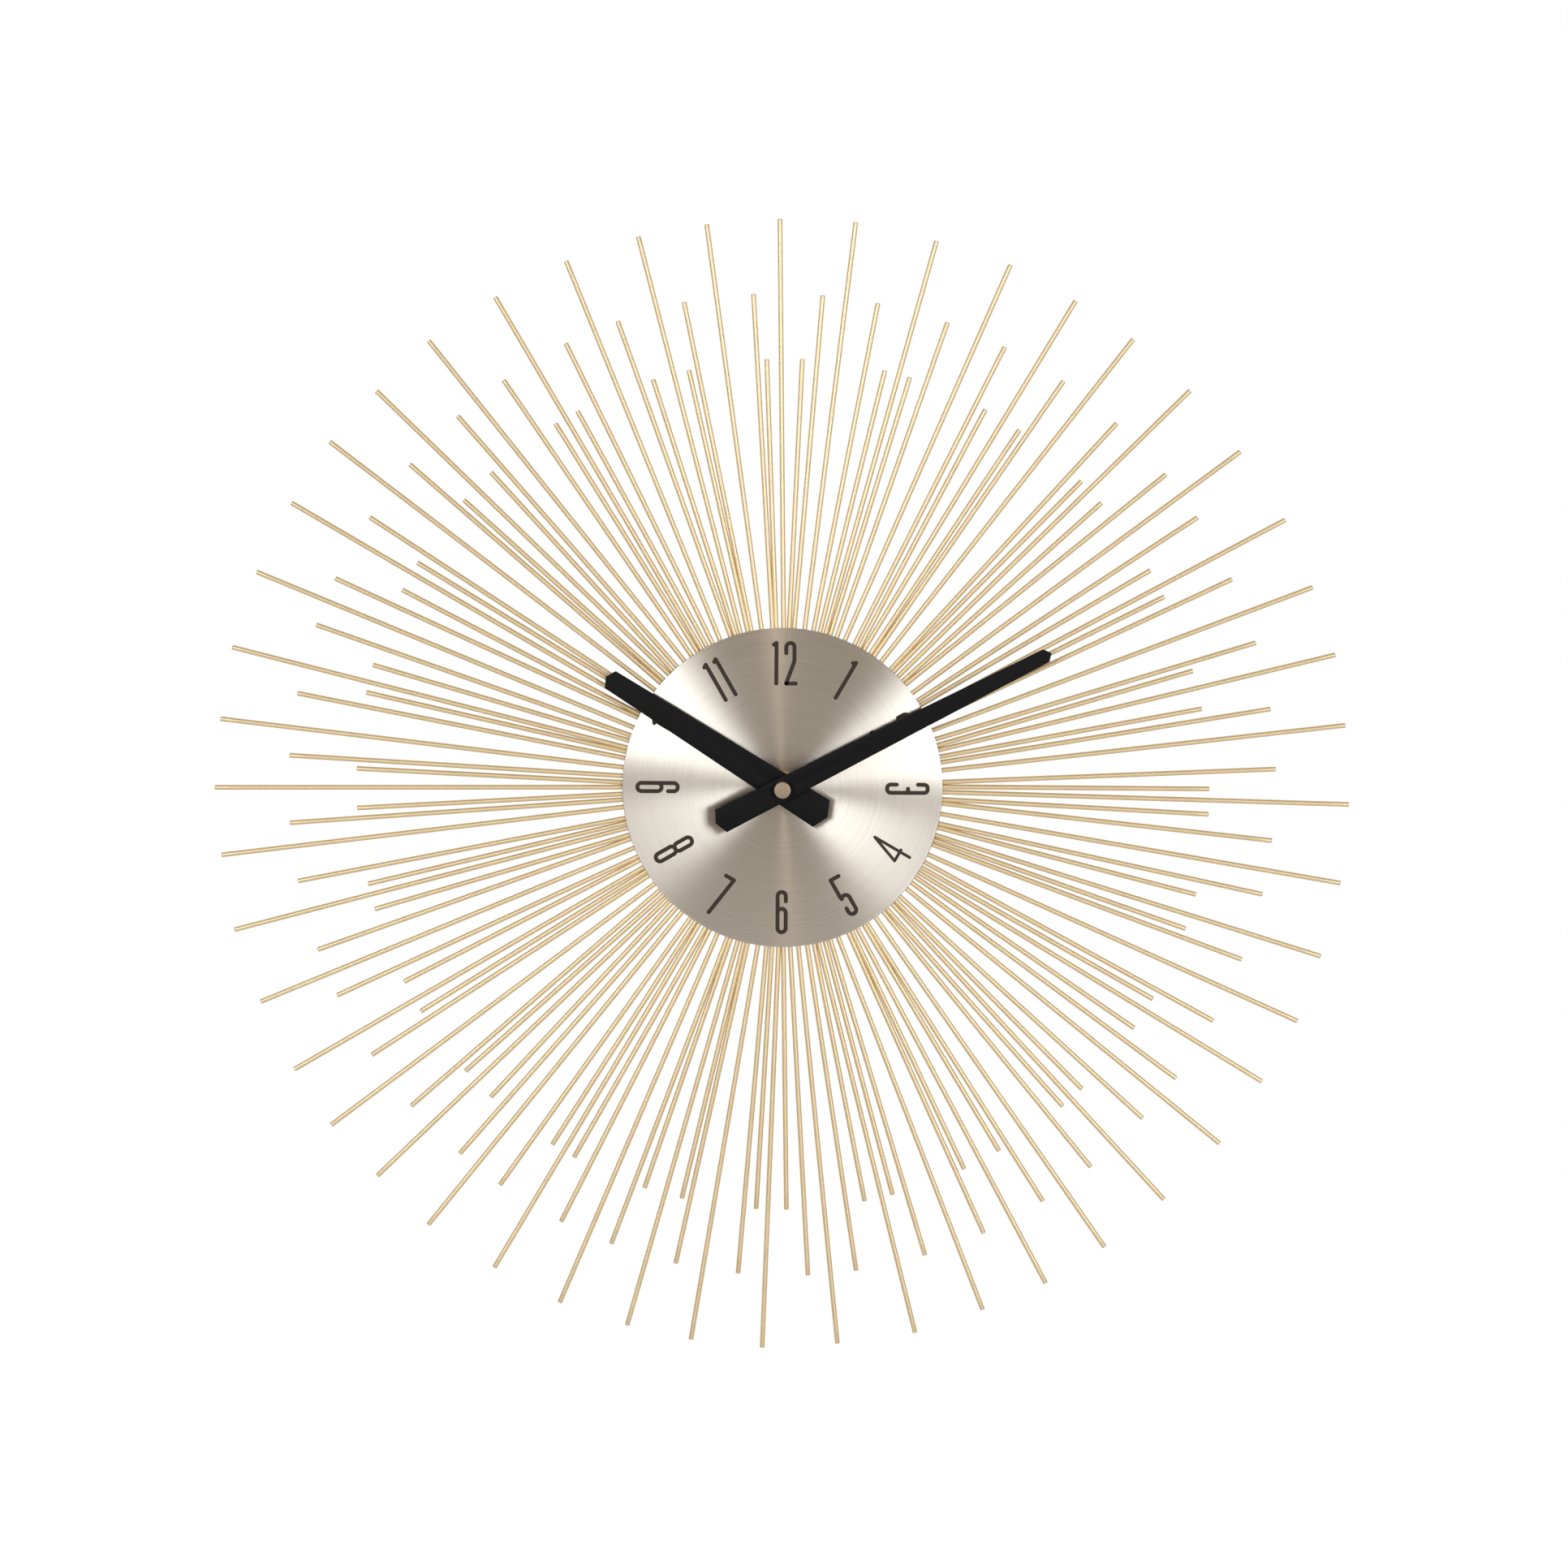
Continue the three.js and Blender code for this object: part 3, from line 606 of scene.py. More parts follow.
def moulded(name, colour, roughness):
    """Moulded plastic, faintly clouded, with a fine spark-eroded grain."""
    look = Look(name, colour, roughness=roughness)
    look.colour(look.between(look.noise(6, 3), 0, 1, *TIGHT), tuple(c * 0.85 for c in colour), colour)
    look.rough(look.noise(0.22, 2), roughness - 0.06, roughness + 0.08)
    look.bump(look.noise(0.22, 2), 0.012)
    return look.material


def plain_metal(name, colour, roughness, stretch=(1, 1, 1)):
    look = Look(name, colour, metallic=1, roughness=roughness)
    cloud = look.between(look.noise(1.2, 4, stretch), 0, 1, *WIDE)
    look.colour(cloud, tuple(c * 0.82 for c in colour), colour)
    look.rough(look.noise(0.8, 3, stretch), roughness - 0.07, roughness + 0.08)
    return look.material


def rubber():
    look = Look("gasket_rubber", (0.02, 0.02, 0.021), roughness=0.85)
    look.colour(look.noise(2.5, 4), (0.016, 0.016, 0.017), (0.032, 0.031, 0.030))
    look.rough(look.noise(0.4, 3), 0.78, 0.95)
    look.bump(look.noise(0.3, 3), 0.03)
    return look.material


def zinc_plate():
    """Bright zinc on pressed steel, with soft crystalline patches and rolling lines."""
    look = Look("hanger_steel", (0.56, 0.57, 0.58), metallic=1, roughness=0.36)
    grain = look.noise(0.3, 3, stretch=(1, 1, 0.06))
    share = look.weighed(look.noise(3.5, 4), 0.6, grain)
    look.colour(look.between(share, 0, 1, *TIGHT), (0.47, 0.49, 0.52), (0.64, 0.64, 0.63))
    look.rough(share, 0.3, 0.46, TIGHT)
    look.bump(grain, 0.004)
    return look.material


def enamelled_wire():
    look = Look("coil_copper", (0.66, 0.30, 0.15), metallic=1, roughness=0.28)
    look.colour(look.noise(0.35, 2, stretch=(4, 0.3, 0.3)), (0.52, 0.20, 0.09), (0.76, 0.38, 0.20))
    look.rough(look.noise(0.5, 2), 0.22, 0.36)
    return look.material


def circuit_green():
    """Solder mask over a net of copper traces."""
    look = Look("board_green", (0.05, 0.22, 0.12), roughness=0.35)
    lines = look.node("TexVoronoi", {"feature": "DISTANCE_TO_EDGE"}, Vector=look.place((0.35, 0.35, 0.35)))
    trace = look.between(lines.outputs["Distance"], 1, 0, 0.05, 0.09)
    look.colour(trace, (0.035, 0.17, 0.09), (0.09, 0.32, 0.17))
    look.rough(look.noise(1.2, 3), 0.3, 0.42)
    look.bump(trace, 0.03)
    return look.material


def cell_wrap():
    """A steel can in a plain printed sleeve: dark blue, with one pale band and bare metal ends."""
    left, right, _, _ = edges_of("battery_cell")
    look = Look("cell_wrap", (0.05, 0.10, 0.22), roughness=0.3)
    along = look.node("SeparateXYZ", Vector=look.place()).outputs["X"]

    def stretch_between(start, end, fade):
        """1 from start to end along the cell, and 0 elsewhere."""
        past_start = look.between(along, 0, 1, start, start + fade)
        before_end = look.between(along, 1, 0, end, end + fade)
        return look.maths("MULTIPLY", past_start, before_end)

    can = left + CELL_NUB
    sleeve = stretch_between(can + SLEEVE_INSET, right - SLEEVE_INSET, 0.02)
    band = stretch_between(can + PALE_BAND[0], can + PALE_BAND[1], 0.05)
    scuff = look.between(look.noise(1.6, 4, stretch=(1, 0.25, 0.25)), 0, 1, 0.6, 0.75)
    blue = look.blend(look.noise(9, 3), (0.035, 0.075, 0.18), (0.05, 0.10, 0.22))
    printed = look.blend(band, blue, (0.52, 0.54, 0.56))
    worn = look.blend(look.maths("MULTIPLY", scuff, 0.08), printed, (0.4, 0.42, 0.45))
    look.colour(sleeve, (0.62, 0.62, 0.61), worn)
    look.feed("Metallic", look.between(sleeve, 1, 0.15))
    look.rough(look.noise(1.5, 3), 0.24, 0.36)
    return look.material


ROD_GOLD = painted_gold("rod_gold", (0.68, 0.50, 0.19), (0.64, 0.46, 0.17))
PLATE_GOLD = painted_gold("plate_gold", (0.66, 0.49, 0.20), (0.62, 0.45, 0.18), 0.46)
DIAL = dial_metal()
BLACK = black_paint()
CAP = brushed_cap()
BRASS = turned_brass()
INK = ink()
ZINC = zinc_plate()
RUBBER = rubber()
CASE_BLACK = moulded("case_plastic", (0.028, 0.028, 0.030), 0.5)
COVER_BLACK = moulded("cover_plastic", (0.036, 0.036, 0.038), 0.46)
GEAR_WHITE = moulded("gear_plastic", (0.83, 0.82, 0.76), 0.42)
BRIDGE_WHITE = moulded("bridge_plastic", (0.78, 0.78, 0.73), 0.5)
KNOB_WHITE = moulded("knob_plastic", (0.82, 0.80, 0.74), 0.45)
MAGNET = plain_metal("magnet", (0.20, 0.20, 0.21), 0.55)
CORE_STEEL = plain_metal("core_steel", (0.50, 0.50, 0.52), 0.4, (0.2, 1, 1))
CONTACT_STEEL = plain_metal("contact_steel", (0.72, 0.71, 0.69), 0.25, (1, 1, 0.2))
CRYSTAL_CAN = plain_metal("crystal_can", (0.70, 0.70, 0.71), 0.22)
COPPER_WIRE = enamelled_wire()
BOARD_GREEN = circuit_green()
CHIP_RESIN = moulded("chip_resin", (0.020, 0.020, 0.022), 0.35)
CELL_WRAP = cell_wrap()


# ---- camera ----

def add_camera():
    data = bpy.data.cameras.new("camera")
    data.lens = LENS
    data.sensor_width = SENSOR
    camera = placed("camera", data)
    distance = VIEW_WIDTH * LENS / SENSOR
    tilt = math.radians(VIEW_ELEVATION)
    back = Vector((0, -math.cos(tilt), math.sin(tilt)))
    camera.location = AIM + back * distance
    camera.rotation_mode = "QUATERNION"
    camera.rotation_quaternion = (-back).to_track_quat("-Z", "Y")
    bpy.context.scene.camera = camera


add_camera()


# ---- rods ----

def fan_turn(angle):
    return FAN_TURN + FAN_DRIFT * math.sin(math.radians(angle - FAN_DRIFT_PHASE))


def wandered(wander, index):
    """How far a rod is off its place, by a formula that gives each rod its own amount."""
    size, beat = wander
    return size * math.sin(index * beat)


def rod(foot, tip):
    """A round rod with a slightly rounded cut end, in short even lengths."""
    foot, tip = Vector((*foot, ROD_DEPTH)), Vector((*tip, ROD_DEPTH))
    length = (tip - foot).length
    straight = length - ROD_END
    rows = round(straight / ROD_STEP)
    profile = [(0, 0)] + [(ROD_RADIUS, straight * i / rows) for i in range(rows + 1)]
    profile += arc(ROD_RADIUS - ROD_END, straight, ROD_END, 0, 90, 4)[1:] + [(0, length)]
    mesh = turned(profile, ROD_SIDES, closed=False)
    mesh.transform((tip - foot).to_track_quat("Z", "Y").to_matrix().to_4x4())
    mesh.transform(Matrix.Translation(foot))
    return mesh


def skinned(rings, caps=()):
    """A mesh through rings that have the same number of points."""
    sides = len(rings[0])
    faces = list(caps)
    for i in range(len(rings) - 1):
        for j in range(sides):
            n = (j + 1) % sides
            a, b = i * sides, (i + 1) * sides
            faces.append((a + j, a + n, b + n, b + j))
    return mesh_from([point for ring in rings for point in ring], faces)


def bead(angle, rod_angles):
    """The braze bead that joins one cluster's rods, swollen where it wets each rod."""
    sections = 60
    sides = 14
    rings = []
    for i in range(sections + 1):
        share = i / sections
        at = angle + BEAD_SPAN[0] + (BEAD_SPAN[1] - BEAD_SPAN[0]) * share
        near = min(abs(at - a) for a in rod_angles)
        swell = BEAD_THIN + BEAD_SWELL * math.exp(-(near / BEAD_SWELL_SPAN) ** 2)
        end = math.sqrt(max(0.0, 1 - (2 * share - 1) ** BEAD_BLUNTNESS))
        ring = []
        for j in range(sides):
            turn = 2 * math.pi * j / sides
            radius = BEAD_RADIUS + BEAD_HALF_BREADTH * swell * end * math.cos(turn)
            depth = ROD_DEPTH + BEAD_HALF_DEPTH * swell * end * math.sin(turn)
            ring.append((*clock_point(radius, at), depth))
        rings.append(ring)
    return skinned(rings)


def add_rods():
    index = 0
    for k in range(CLUSTERS):
        angle = k * CLUSTER_STEP
        turn = fan_turn(angle)
        rods = []
        feet = []
        for offset, reach in CLUSTER_RODS:
            index += 1
            place = angle + offset + turn
            foot_angle = place + wandered(FOOT_WANDER, index)
            tip_angle = place + wandered(TIP_WANDER, index)
            tip_radius = reach + wandered(REACH_WANDER, index)
            feet.append(foot_angle)
            rods.append(rod(clock_point(ROD_START, foot_angle), clock_point(tip_radius, tip_angle)))
        mesh = merged(*rods, bead(angle + turn, feet))
        number = f"{k + 1:02d}"
        shown("rods_" + number, mesh, ROD_GOLD, "frame", "ray_cluster_" + number, smooth=40)


add_rods()


# ---- dial and numerals ----

def add_dial():
    rear, front = depths("dial_plate")
    profile = ring_profile(half_width("dial_plate"), BUSH_HOLE, rear, front)
    mesh = turned(softened(profile, DIAL_EDGE, 4), 288)
    shown("dial", mesh, DIAL, "frame", "dial_plate", smooth=50)


def stroke(points, width, closed=False):
    """The outlines of a flat ribbon along a smooth line: round-ended, or a ring if the line is closed."""
    line = [Vector(p) for p in points]
    half = width / 2
    count = len(line)
    left, right = [], []
    for i, point in enumerate(line):
        if closed:
            run = line[(i + 1) % count] - line[i - 1]
        else:
            run = line[min(i + 1, count - 1)] - line[max(i - 1, 0)]
        side = Vector((-run.y, run.x)).normalized() * half
        left.append(point + side)
        right.append(point - side)
    if closed:
        return [[tuple(p) for p in left], [tuple(p) for p in right]]
    end = math.degrees(math.atan2(*(line[-1] - line[-2]).yx))
    start = math.degrees(math.atan2(*(line[1] - line[0]).yx))
    far = arc(*line[-1], half, end - 90, end + 90, 10)
    near = arc(*line[0], half, start + 90, start + 270, 10)
    return [[tuple(p) for p in right[:-1]] + far + [tuple(p) for p in reversed(left[:-1])][:-1] + near]


def digit_strokes(digit):
    """Centrelines of a digit, from 0 to NUMERAL_WIDTH across and 0 to NUMERAL_HEIGHT up."""
    w, h = NUMERAL_WIDTH, NUMERAL_HEIGHT
    r = w / 2

    def loop(bottom, top):
        return arc(r, top - r, r, 0, 180) + arc(r, bottom + r, r, 180, 360), True

    if digit == "0":
        return [loop(0, h)]
    if digit == "1":
        return [([(r, 0), (r, h)], False), ([(r, h), (r - 1.1, h - 0.75)], False)]
    if digit == "2":
        bend = arc(w - 3, 0.61 * h, 3, 0, -24, 5, 4)
        top = [(0, 0.75 * h), (0, h - r - 0.01)] + arc(r, h - r, r, 180, 0) + bend
        return [(top + [(0.1, 0.1)], False), ([(0, 0), (w + 0.6, 0)], False)]
    if digit == "3":
        c = 1.5
        top = [(0, 0.76 * h)] + arc(c, h - c, c, 180, 90, 8) + arc(w - c, h - c, c, 90, 0, 8)
        bottom = arc(w - c, c, c, 0, -90, 8) + arc(c, c, c, -90, -180, 8) + [(0, 0.235 * h)]
        return [(top + bottom, False), ([(w, 0.515 * h), (w / 2, 0.515 * h)], False)]
    if digit == "4":
        corner = (w - 4.5, 0.28 * h)
        return [([(w, 0), (w, h)], False), ([(w, h), corner], False), ([corner, (w + 0.9, 0.28 * h)], False)]
    if digit == "5":
        bowl = arc(r, 0.47 * h - r + 0.75, r, 150, 0, 10) + arc(r, r, r, 0, -180) + [(0, 0.2 * h)]
        return [([(3.9, h), (0, h)], False), ([(0, h), (0, 0.5 * h)], False), (bowl, False)]
    if digit == "6":
        hook = [(0, 0.4 * h)] + arc(r, h - r, r, 180, 0) + [(w, 0.77 * h)]
        return [loop(0, 0.585 * h), (hook, False)]
    if digit == "7":
        return [([(0, h), (3.9, h)], False), ([(3.9, h), (1.5, 0)], False)]
    if digit == "8":
        return [loop(0, 0.54 * h), loop(0.53 * h, h)]
    tail = [(w, 0.6 * h)] + arc(r, r, r, 0, -180) + [(0, 0.24 * h)]
    return [loop(0.4 * h, h), (tail, False)]


def numeral_mesh(text, rear, front):
    """All strokes of a numeral, joined and centred on its own middle."""
    step = NUMERAL_STEPS.get(text, 0)
    slabs = []
    for i, digit in enumerate(text):
        width = THIN_STROKE if digit == "4" else STROKE
        across = (i - (len(text) - 1) / 2) * step - NUMERAL_WIDTH / 2
        for points, closed in digit_strokes(digit):
            placed = [(x + across, y - NUMERAL_HEIGHT / 2) for x, y in points]
            slabs.append(plate(stroke(placed, width, closed), rear, front, 0.02, 1))
    return joined(*slabs) if len(slabs) > 1 else slabs[0]


def add_numerals():
    _, face = depths("dial_plate")
    for hour in range(1, 13):
        angle = hour * 30
        mesh = numeral_mesh(str(hour), face - INK_SUNK, face + INK_THICKNESS)
        upright = angle + (180 if 4 <= hour <= 8 else 0)
        x, y = clock_point(NUMERAL_RADIUS, angle + NUMERAL_TURN)
        moved(mesh, x, y, turn=upright + NUMERAL_TURN)
        shown(f"numeral_{hour:02d}", mesh, INK, "frame")


add_dial()
add_numerals()


# ---- hands ----

def hand_mesh(hand, rear, front):
    tail, tip = hand["tail"], hand["tip"]
    tail_half, tip_half = (w / 2 for w in hand["widths"])
    tail_point, tip_point = hand["points"]
    side = [(tail_half, tail_point - tail), (tip_half, tip - tip_point)]
    outline = [(0, -tail), *side, (0, tip), *((-x, y) for x, y in reversed(side))]
    return moved(plate([outline, circle(hand["bore"])], rear, front, HAND_EDGE, 3), turn=hand["angle"])


def add_hands():
    for body, hand in (("hour", HOUR_HAND), ("minute", MINUTE_HAND)):
        node = body + "_hand"
        shown(node + "_blade", hand_mesh(hand, *depths(node)), BLACK, body, node)


def add_cap():
    """A cap nut with a flat crown, hollow behind."""
    rear, front = depths("hand_cap_nut")
    radius = half_width("hand_cap_nut")
    hollow = front - CAP_CROWN
    profile = [(CAP_BORE, rear), (radius, rear), (radius, front), (0, front), (0, hollow), (CAP_BORE, hollow)]
    mesh = turned(softened(profile, CAP_EDGE, 4), 96)
    shown("cap_nut", mesh, CAP, "minute", "hand_cap_nut", smooth=50)


add_hands()
add_cap()


# ---- the stack on the bush ----

def pressed_thread(mesh, radius, start, end):
    """Presses a helical groove into the rows of a turned mesh that lie at that radius."""
    for vertex in mesh.vertices:
        x, y, depth = vertex.co
        if abs(math.hypot(x, y) - radius) > 0.01 or not start < depth < end:
            continue
        share = (depth / THREAD_PITCH - math.atan2(y, x) / (2 * math.pi)) % 1
        run_out = min(1, (depth - start) / THREAD_PITCH, (end - depth) / THREAD_PITCH)
        scale = 1 - THREAD_GROOVE * run_out * (1 - abs(2 * share - 1)) / radius
        vertex.co = (x * scale, y * scale, depth)
    return mesh


def bush_mesh():
    rear, front = depths("threaded_bush")
    flange = half_width("threaded_bush")
    radius = BUSH_RADIUS
    ease, lead = 0.2, 0.3
    start, end = FLANGE_FRONT + ease, front - lead
    foot = [(BUSH_BORE, rear), (flange - ease, rear), (flange, rear + ease)]
    foot += [(flange, FLANGE_FRONT), (radius, FLANGE_FRONT)]
    shank = [(radius, start + (end - start) * i / THREAD_ROWS) for i in range(THREAD_ROWS + 1)]
    top = [(radius - lead, front), (BUSH_BORE + ease, front), (BUSH_BORE, front - ease)]
    return pressed_thread(turned(foot + shank + top, 64), radius, start, end)


def hex_nut_mesh():
    """A hexagon with both faces turned to a chamfer, so each flat ends in an arc."""
    rear, front = depths("hex_nut")
    corner = half_width("hex_nut")
    flat = corner * math.cos(math.pi / 6)
    lip, drop, ease = corner - 0.85, 0.5, 0.2
    eased = BUSH_HOLE + ease
    bore = [(eased, front), (BUSH_HOLE, front - ease), (BUSH_HOLE, rear + ease), (eased, rear)]
    mesh = turned(bore + [(lip, rear), (corner, rear + drop), (corner, front - drop), (lip, front)], 96)
    for vertex in mesh.vertices:
        x, y, depth = vertex.co
        if math.hypot(x, y) < corner - 0.01:
            continue
        reach = flat / math.cos(math.atan2(y, x) % (math.pi / 3) - math.pi / 6)
        fall = drop * (reach - lip) / (corner - lip)
        depth = rear + fall if depth < (rear + front) / 2 else front - fall
        vertex.co = (x * reach / corner, y * reach / corner, depth)
    return mesh


def back_plate_mesh():
    """A disc with one pressed stiffening ring."""
    rear, front = depths("back_plate")
    radius = half_width("back_plate")
    ring_inner, ring_outer, rise, slope = 36, 41, 0.4, 1.2
    face = [(BUSH_HOLE, 0), (ring_inner - slope, 0), (ring_inner, rise), (ring_outer, rise)]
    face += [(ring_outer + slope, 0), (radius, 0)]
    profile = [(r, rear + up) for r, up in face] + [(r, front + up) for r, up in reversed(face)]
    return turned(softened(profile, 0.35, 3), 192)


def hanger_mesh():
    """A strap with a keyhole: the nail's head goes in below and its shank rides up into the slot."""
    rear, front = depths("hanger")
    width = half_width("hanger")
    _, _, bottom, top = edges_of("hanger")
    keyhole_up, keyhole_radius, slot_up, slot_radius = 36, 4.5, 41.5, 2.1
    neck = math.degrees(math.asin(slot_radius / keyhole_radius))
    corner = 1.5
    strap = arc(0, top - width, width, 0, 180, 36)
    strap += arc(corner - width, bottom + corner, corner, 180, 270, 6)
    strap += arc(width - corner, bottom + corner, corner, 270, 360, 6)
    keyhole = arc(0, keyhole_up, keyhole_radius, 90 + neck, 450 - neck, 48)
    keyhole += arc(0, slot_up, slot_radius, 0, 180, 18)
    return plate([strap, keyhole, circle(BUSH_HOLE)], rear, front, 0.15, 3)


def add_stack():
    shown("back_disc", back_plate_mesh(), PLATE_GOLD, "frame", "back_plate")
    for name, node, edge, look, slot in (
        ("spacer_ring", "plate_spacer", 0.2, BRASS, "brass"),
        ("washer_ring", "dial_washer", 0.12, BRASS, "brass"),
        ("gasket_ring", "rubber_gasket", 0.35, RUBBER, "gasket_rubber"),
    ):
        profile = ring_profile(half_width(node), BUSH_HOLE, *depths(node))
        shown(name, turned(softened(profile, edge), 96), look, "frame", node, smooth=50)
    shown("nut_hexagon", hex_nut_mesh(), BRASS, "frame", "hex_nut", smooth=20)
    shown("bush_thread", bush_mesh(), BRASS, "frame", "threaded_bush", smooth=25)
    shown("hanger_strap", hanger_mesh(), ZINC, "frame", "hanger")


add_stack()


# ---- movement shells ----

def rectangle(left, right, bottom, top, corner=0.0):
    outline = [(left, bottom), (right, bottom), (right, top), (left, top)]
    return softened(outline, corner, 5) if corner else outline


def block(left, right, bottom, top, rear, front, corner=0.0):
    return plate([rectangle(left, right, bottom, top, corner)], rear, front, SHARP, 1)


def laid(mesh, axes, *place):
    """Turns a piece away from the depth axis, then shifts it to its place."""
    mesh.transform(Matrix.Translation(place) @ Matrix(axes).to_4x4())
    return mesh


def squared_outline(half, bottom):
    """The movement's square with cut corners, each softened a little."""
    c = CASE_CORNER
    low = [(c - half, bottom), (half - c, bottom), (half, bottom + c)]
    if bottom > -half:
        low = [(-half, bottom), (half, bottom)]
    outline = low + [(half, half - c), (half - c, half), (c - half, half), (-half, half - c)]
    if bottom == -half:
        outline.append((-half, bottom + c))
    return softened(outline, 0.6, 3)


def latch_outlines(half, spare, inwards, outwards):
    """Where the snap hooks lie in the case's top and sides, as seen from the front."""
    reach = LATCH_HALF + spare
    outlines = [rectangle(x - reach, x + reach, half - inwards, half + outwards) for x in LATCH_ACROSS]
    for y in LATCH_UP:
        outlines.append(rectangle(half - inwards, half + outwards, y - reach, y + reach))
        outlines.append(rectangle(-half - outwards, inwards - half, y - reach, y + reach))
    return outlines


def case_mesh():
    rear, front = depths("movement_case")
    half = half_width("movement_case")
    inside = half - CASE_WALL
    _, _, bay_top, _ = edges_of("rear_cover")
    train_floor = bay_top + CASE_WALL
    open_at = rear - OUTSIDE
    shell = plate([squared_outline(half, -half)], rear, front, CASE_EDGE, 3)
    bay = block(-inside, inside, -inside, bay_top, open_at, CASE_FLOOR, BAY_CORNER)
    room = block(-inside, inside, train_floor, inside, open_at, CASE_FLOOR, BAY_CORNER)
    strip_slot = block(-inside, STRIP_SLOT - inside, bay_top - 1, train_floor + 1, open_at, STRIP_SLOT_FRONT)
    bush = disc(BUSH_HOLE, CASE_FLOOR - 0.8, front + OUTSIDE, SHARP, 64)
    thumb = laid(disc(THUMB_RADIUS, -2, 2, SHARP, 64), ALONG_Y, 0, -half, rear - THUMB_SET_BACK)
    pivots = [
        moved(disc(PIVOT_HOLE, CASE_FLOOR - 0.8, CASE_FLOOR + 0.6, SHARP, 24), *centre_of(node))
        for node in ("motion_wheel", "setting_knob")
    ]
    outlines = latch_outlines(half, GROOVE_EASE, GROOVE_DEPTH, OUTSIDE)
    grooves = [plate([outline], open_at, GROOVE_FRONT, SHARP, 1) for outline in outlines]
    return cut(shell, bay, room, strip_slot, bush, thumb, *pivots, *grooves)


def turn_arrow():
    """A double-headed arc that shows the knob turns both ways."""
    start, end = ARROW_SPAN
    width, length = ARROW_HEAD
    outline = []
    for side, first, last in ((1, start, end), (-1, end, start)):
        outline += arc(0, 0, ARROW_RADIUS + side * MARK_WIDTH, first, last, 24)
        for across, along in ((width, 0), (0, length), (-width, 0)):
            outline += arc(0, 0, ARROW_RADIUS + side * across, last + side * along, last, 1)[:1]
    return plate([outline], -OUTSIDE, ENGRAVED, SHARP, 1)


def polarity_marks(y):
    """An engraved plus at one end of the cell's bay and a minus at the other."""
    level, upright = (MARK_SIZE, MARK_WIDTH), (MARK_WIDTH, MARK_SIZE)
    bars = ((-MARK_ACROSS, *level), (-MARK_ACROSS, *upright), (MARK_ACROSS, *level))
    return [block(x - wide, x + wide, y - tall, y + tall, -OUTSIDE, ENGRAVED) for x, wide, tall in bars]


def arbor_bosses():
    """The cover's hollow bosses for the arbors' rear ends, and the pockets they are set in."""
    radius, front, edge = BOSS_RADIUS, BOSS_FRONT, BOSS_EDGE
    outside = [(0, BOSS_ROOT), (radius, BOSS_ROOT), (radius, front - edge), (radius - edge, front)]
    hole = [(PIVOT_HOLE + edge / 2, front), (PIVOT_HOLE, front - edge / 2)]
    hole += [(PIVOT_HOLE, PIVOT_FLOOR), (0, PIVOT_FLOOR)]
    arbors = [(0, 0)] + [centre_of(node) for node in ("third_wheel", "intermediate_wheel", "rotor_pinion")]
    bosses = [moved(turned(outside + hole, 32, closed=False), *at) for at in arbors]
    pocket_radius, pocket_floor = BOSS_POCKET
    pockets = [moved(disc(pocket_radius, pocket_floor, front, SHARP, 24), *at) for at in arbors]
    return bosses, pockets


def cover_mesh():
    rear, seam = depths("rear_cover")[0], depths("movement_case")[0]
    _, _, bottom, _ = edges_of("rear_cover")
    knob = centre_of("setting_knob")
    sheet = plate([squared_outline(half_width("rear_cover"), bottom)], rear, seam, CASE_EDGE, 3)
    bosses, pockets = arbor_bosses()
    floor, front = CUP_FLOOR
    cup = moved(disc(CUP_RADIUS + CUP_WALL, rear + 0.35, front, 0.2, 96), *knob)
    mouth = [(0, -OUTSIDE), (CUP_RADIUS + CUP_EASE + OUTSIDE, -OUTSIDE), (CUP_RADIUS, CUP_EASE)]
    inside = [(CUP_RADIUS, floor - CUP_EASE), (CUP_RADIUS - CUP_EASE, floor), (0, floor)]
    recess = moved(turned(mouth + inside, 96, closed=False), *knob)
    stem_hole = moved(disc(STEM_HOLE, floor - 1.2, front + OUTSIDE, SHARP, 32), *knob)
    whole = joined(cut(sheet, *pockets), cup, *bosses)
    return cut(whole, recess, stem_hole, moved(turn_arrow(), *knob), *polarity_marks(bottom + MARK_UP))


def latch_meshes():
    """Six snap hooks that reach from the cover into grooves in the case's top and sides."""
    root = depths("movement_case")[0] - 0.5
    outlines = latch_outlines(half_width("rear_cover"), 0, LATCH_THICKNESS + LATCH_EASE, -LATCH_EASE)
    return merged(*(plate([outline], root, LATCH_FRONT, 0.04, 2) for outline in outlines))


def knob_mesh():
    """A knurled knob with a shallow dish behind and a socket for its stem in front."""
    rear, front = depths("setting_knob")
    middle = half_width("setting_knob") - KNOB_KNURL_DEPTH / 2
    steps = 12 * KNOB_KNURLS
    outline = []
    for i in range(steps):
        angle = 2 * math.pi * i / steps
        reach = middle + KNOB_KNURL_DEPTH / 2 * math.cos(KNOB_KNURLS * angle)
        outline.append((reach * math.cos(angle), reach * math.sin(angle)))
    blank = plate([outline], rear, front, 0.3, 3)
    radius, drop = KNOB_DISH
    dish = [(0, rear - OUTSIDE), (radius, rear - OUTSIDE), (radius, rear)]
    dish += [(radius - 0.5, rear + drop), (0, rear + drop)]
    bore, reach = KNOB_SOCKET
    socket = disc(bore, front - reach, front + OUTSIDE, SHARP, 32)
    return moved(cut(blank, turned(dish, 64, closed=False), socket), *centre_of("setting_knob"))


def add_shells():
    shown("case_shell", case_mesh(), CASE_BLACK, "frame", "movement_case", edge=0.12)
    shown("cover_lid", cover_mesh(), COVER_BLACK, "frame", "rear_cover")
    shown("cover_latches", latch_meshes(), COVER_BLACK, "frame")
    shown("knob_grip", knob_mesh(), KNOB_WHITE, "setting", "setting_knob")


add_shells()


# ---- cell and contacts ----

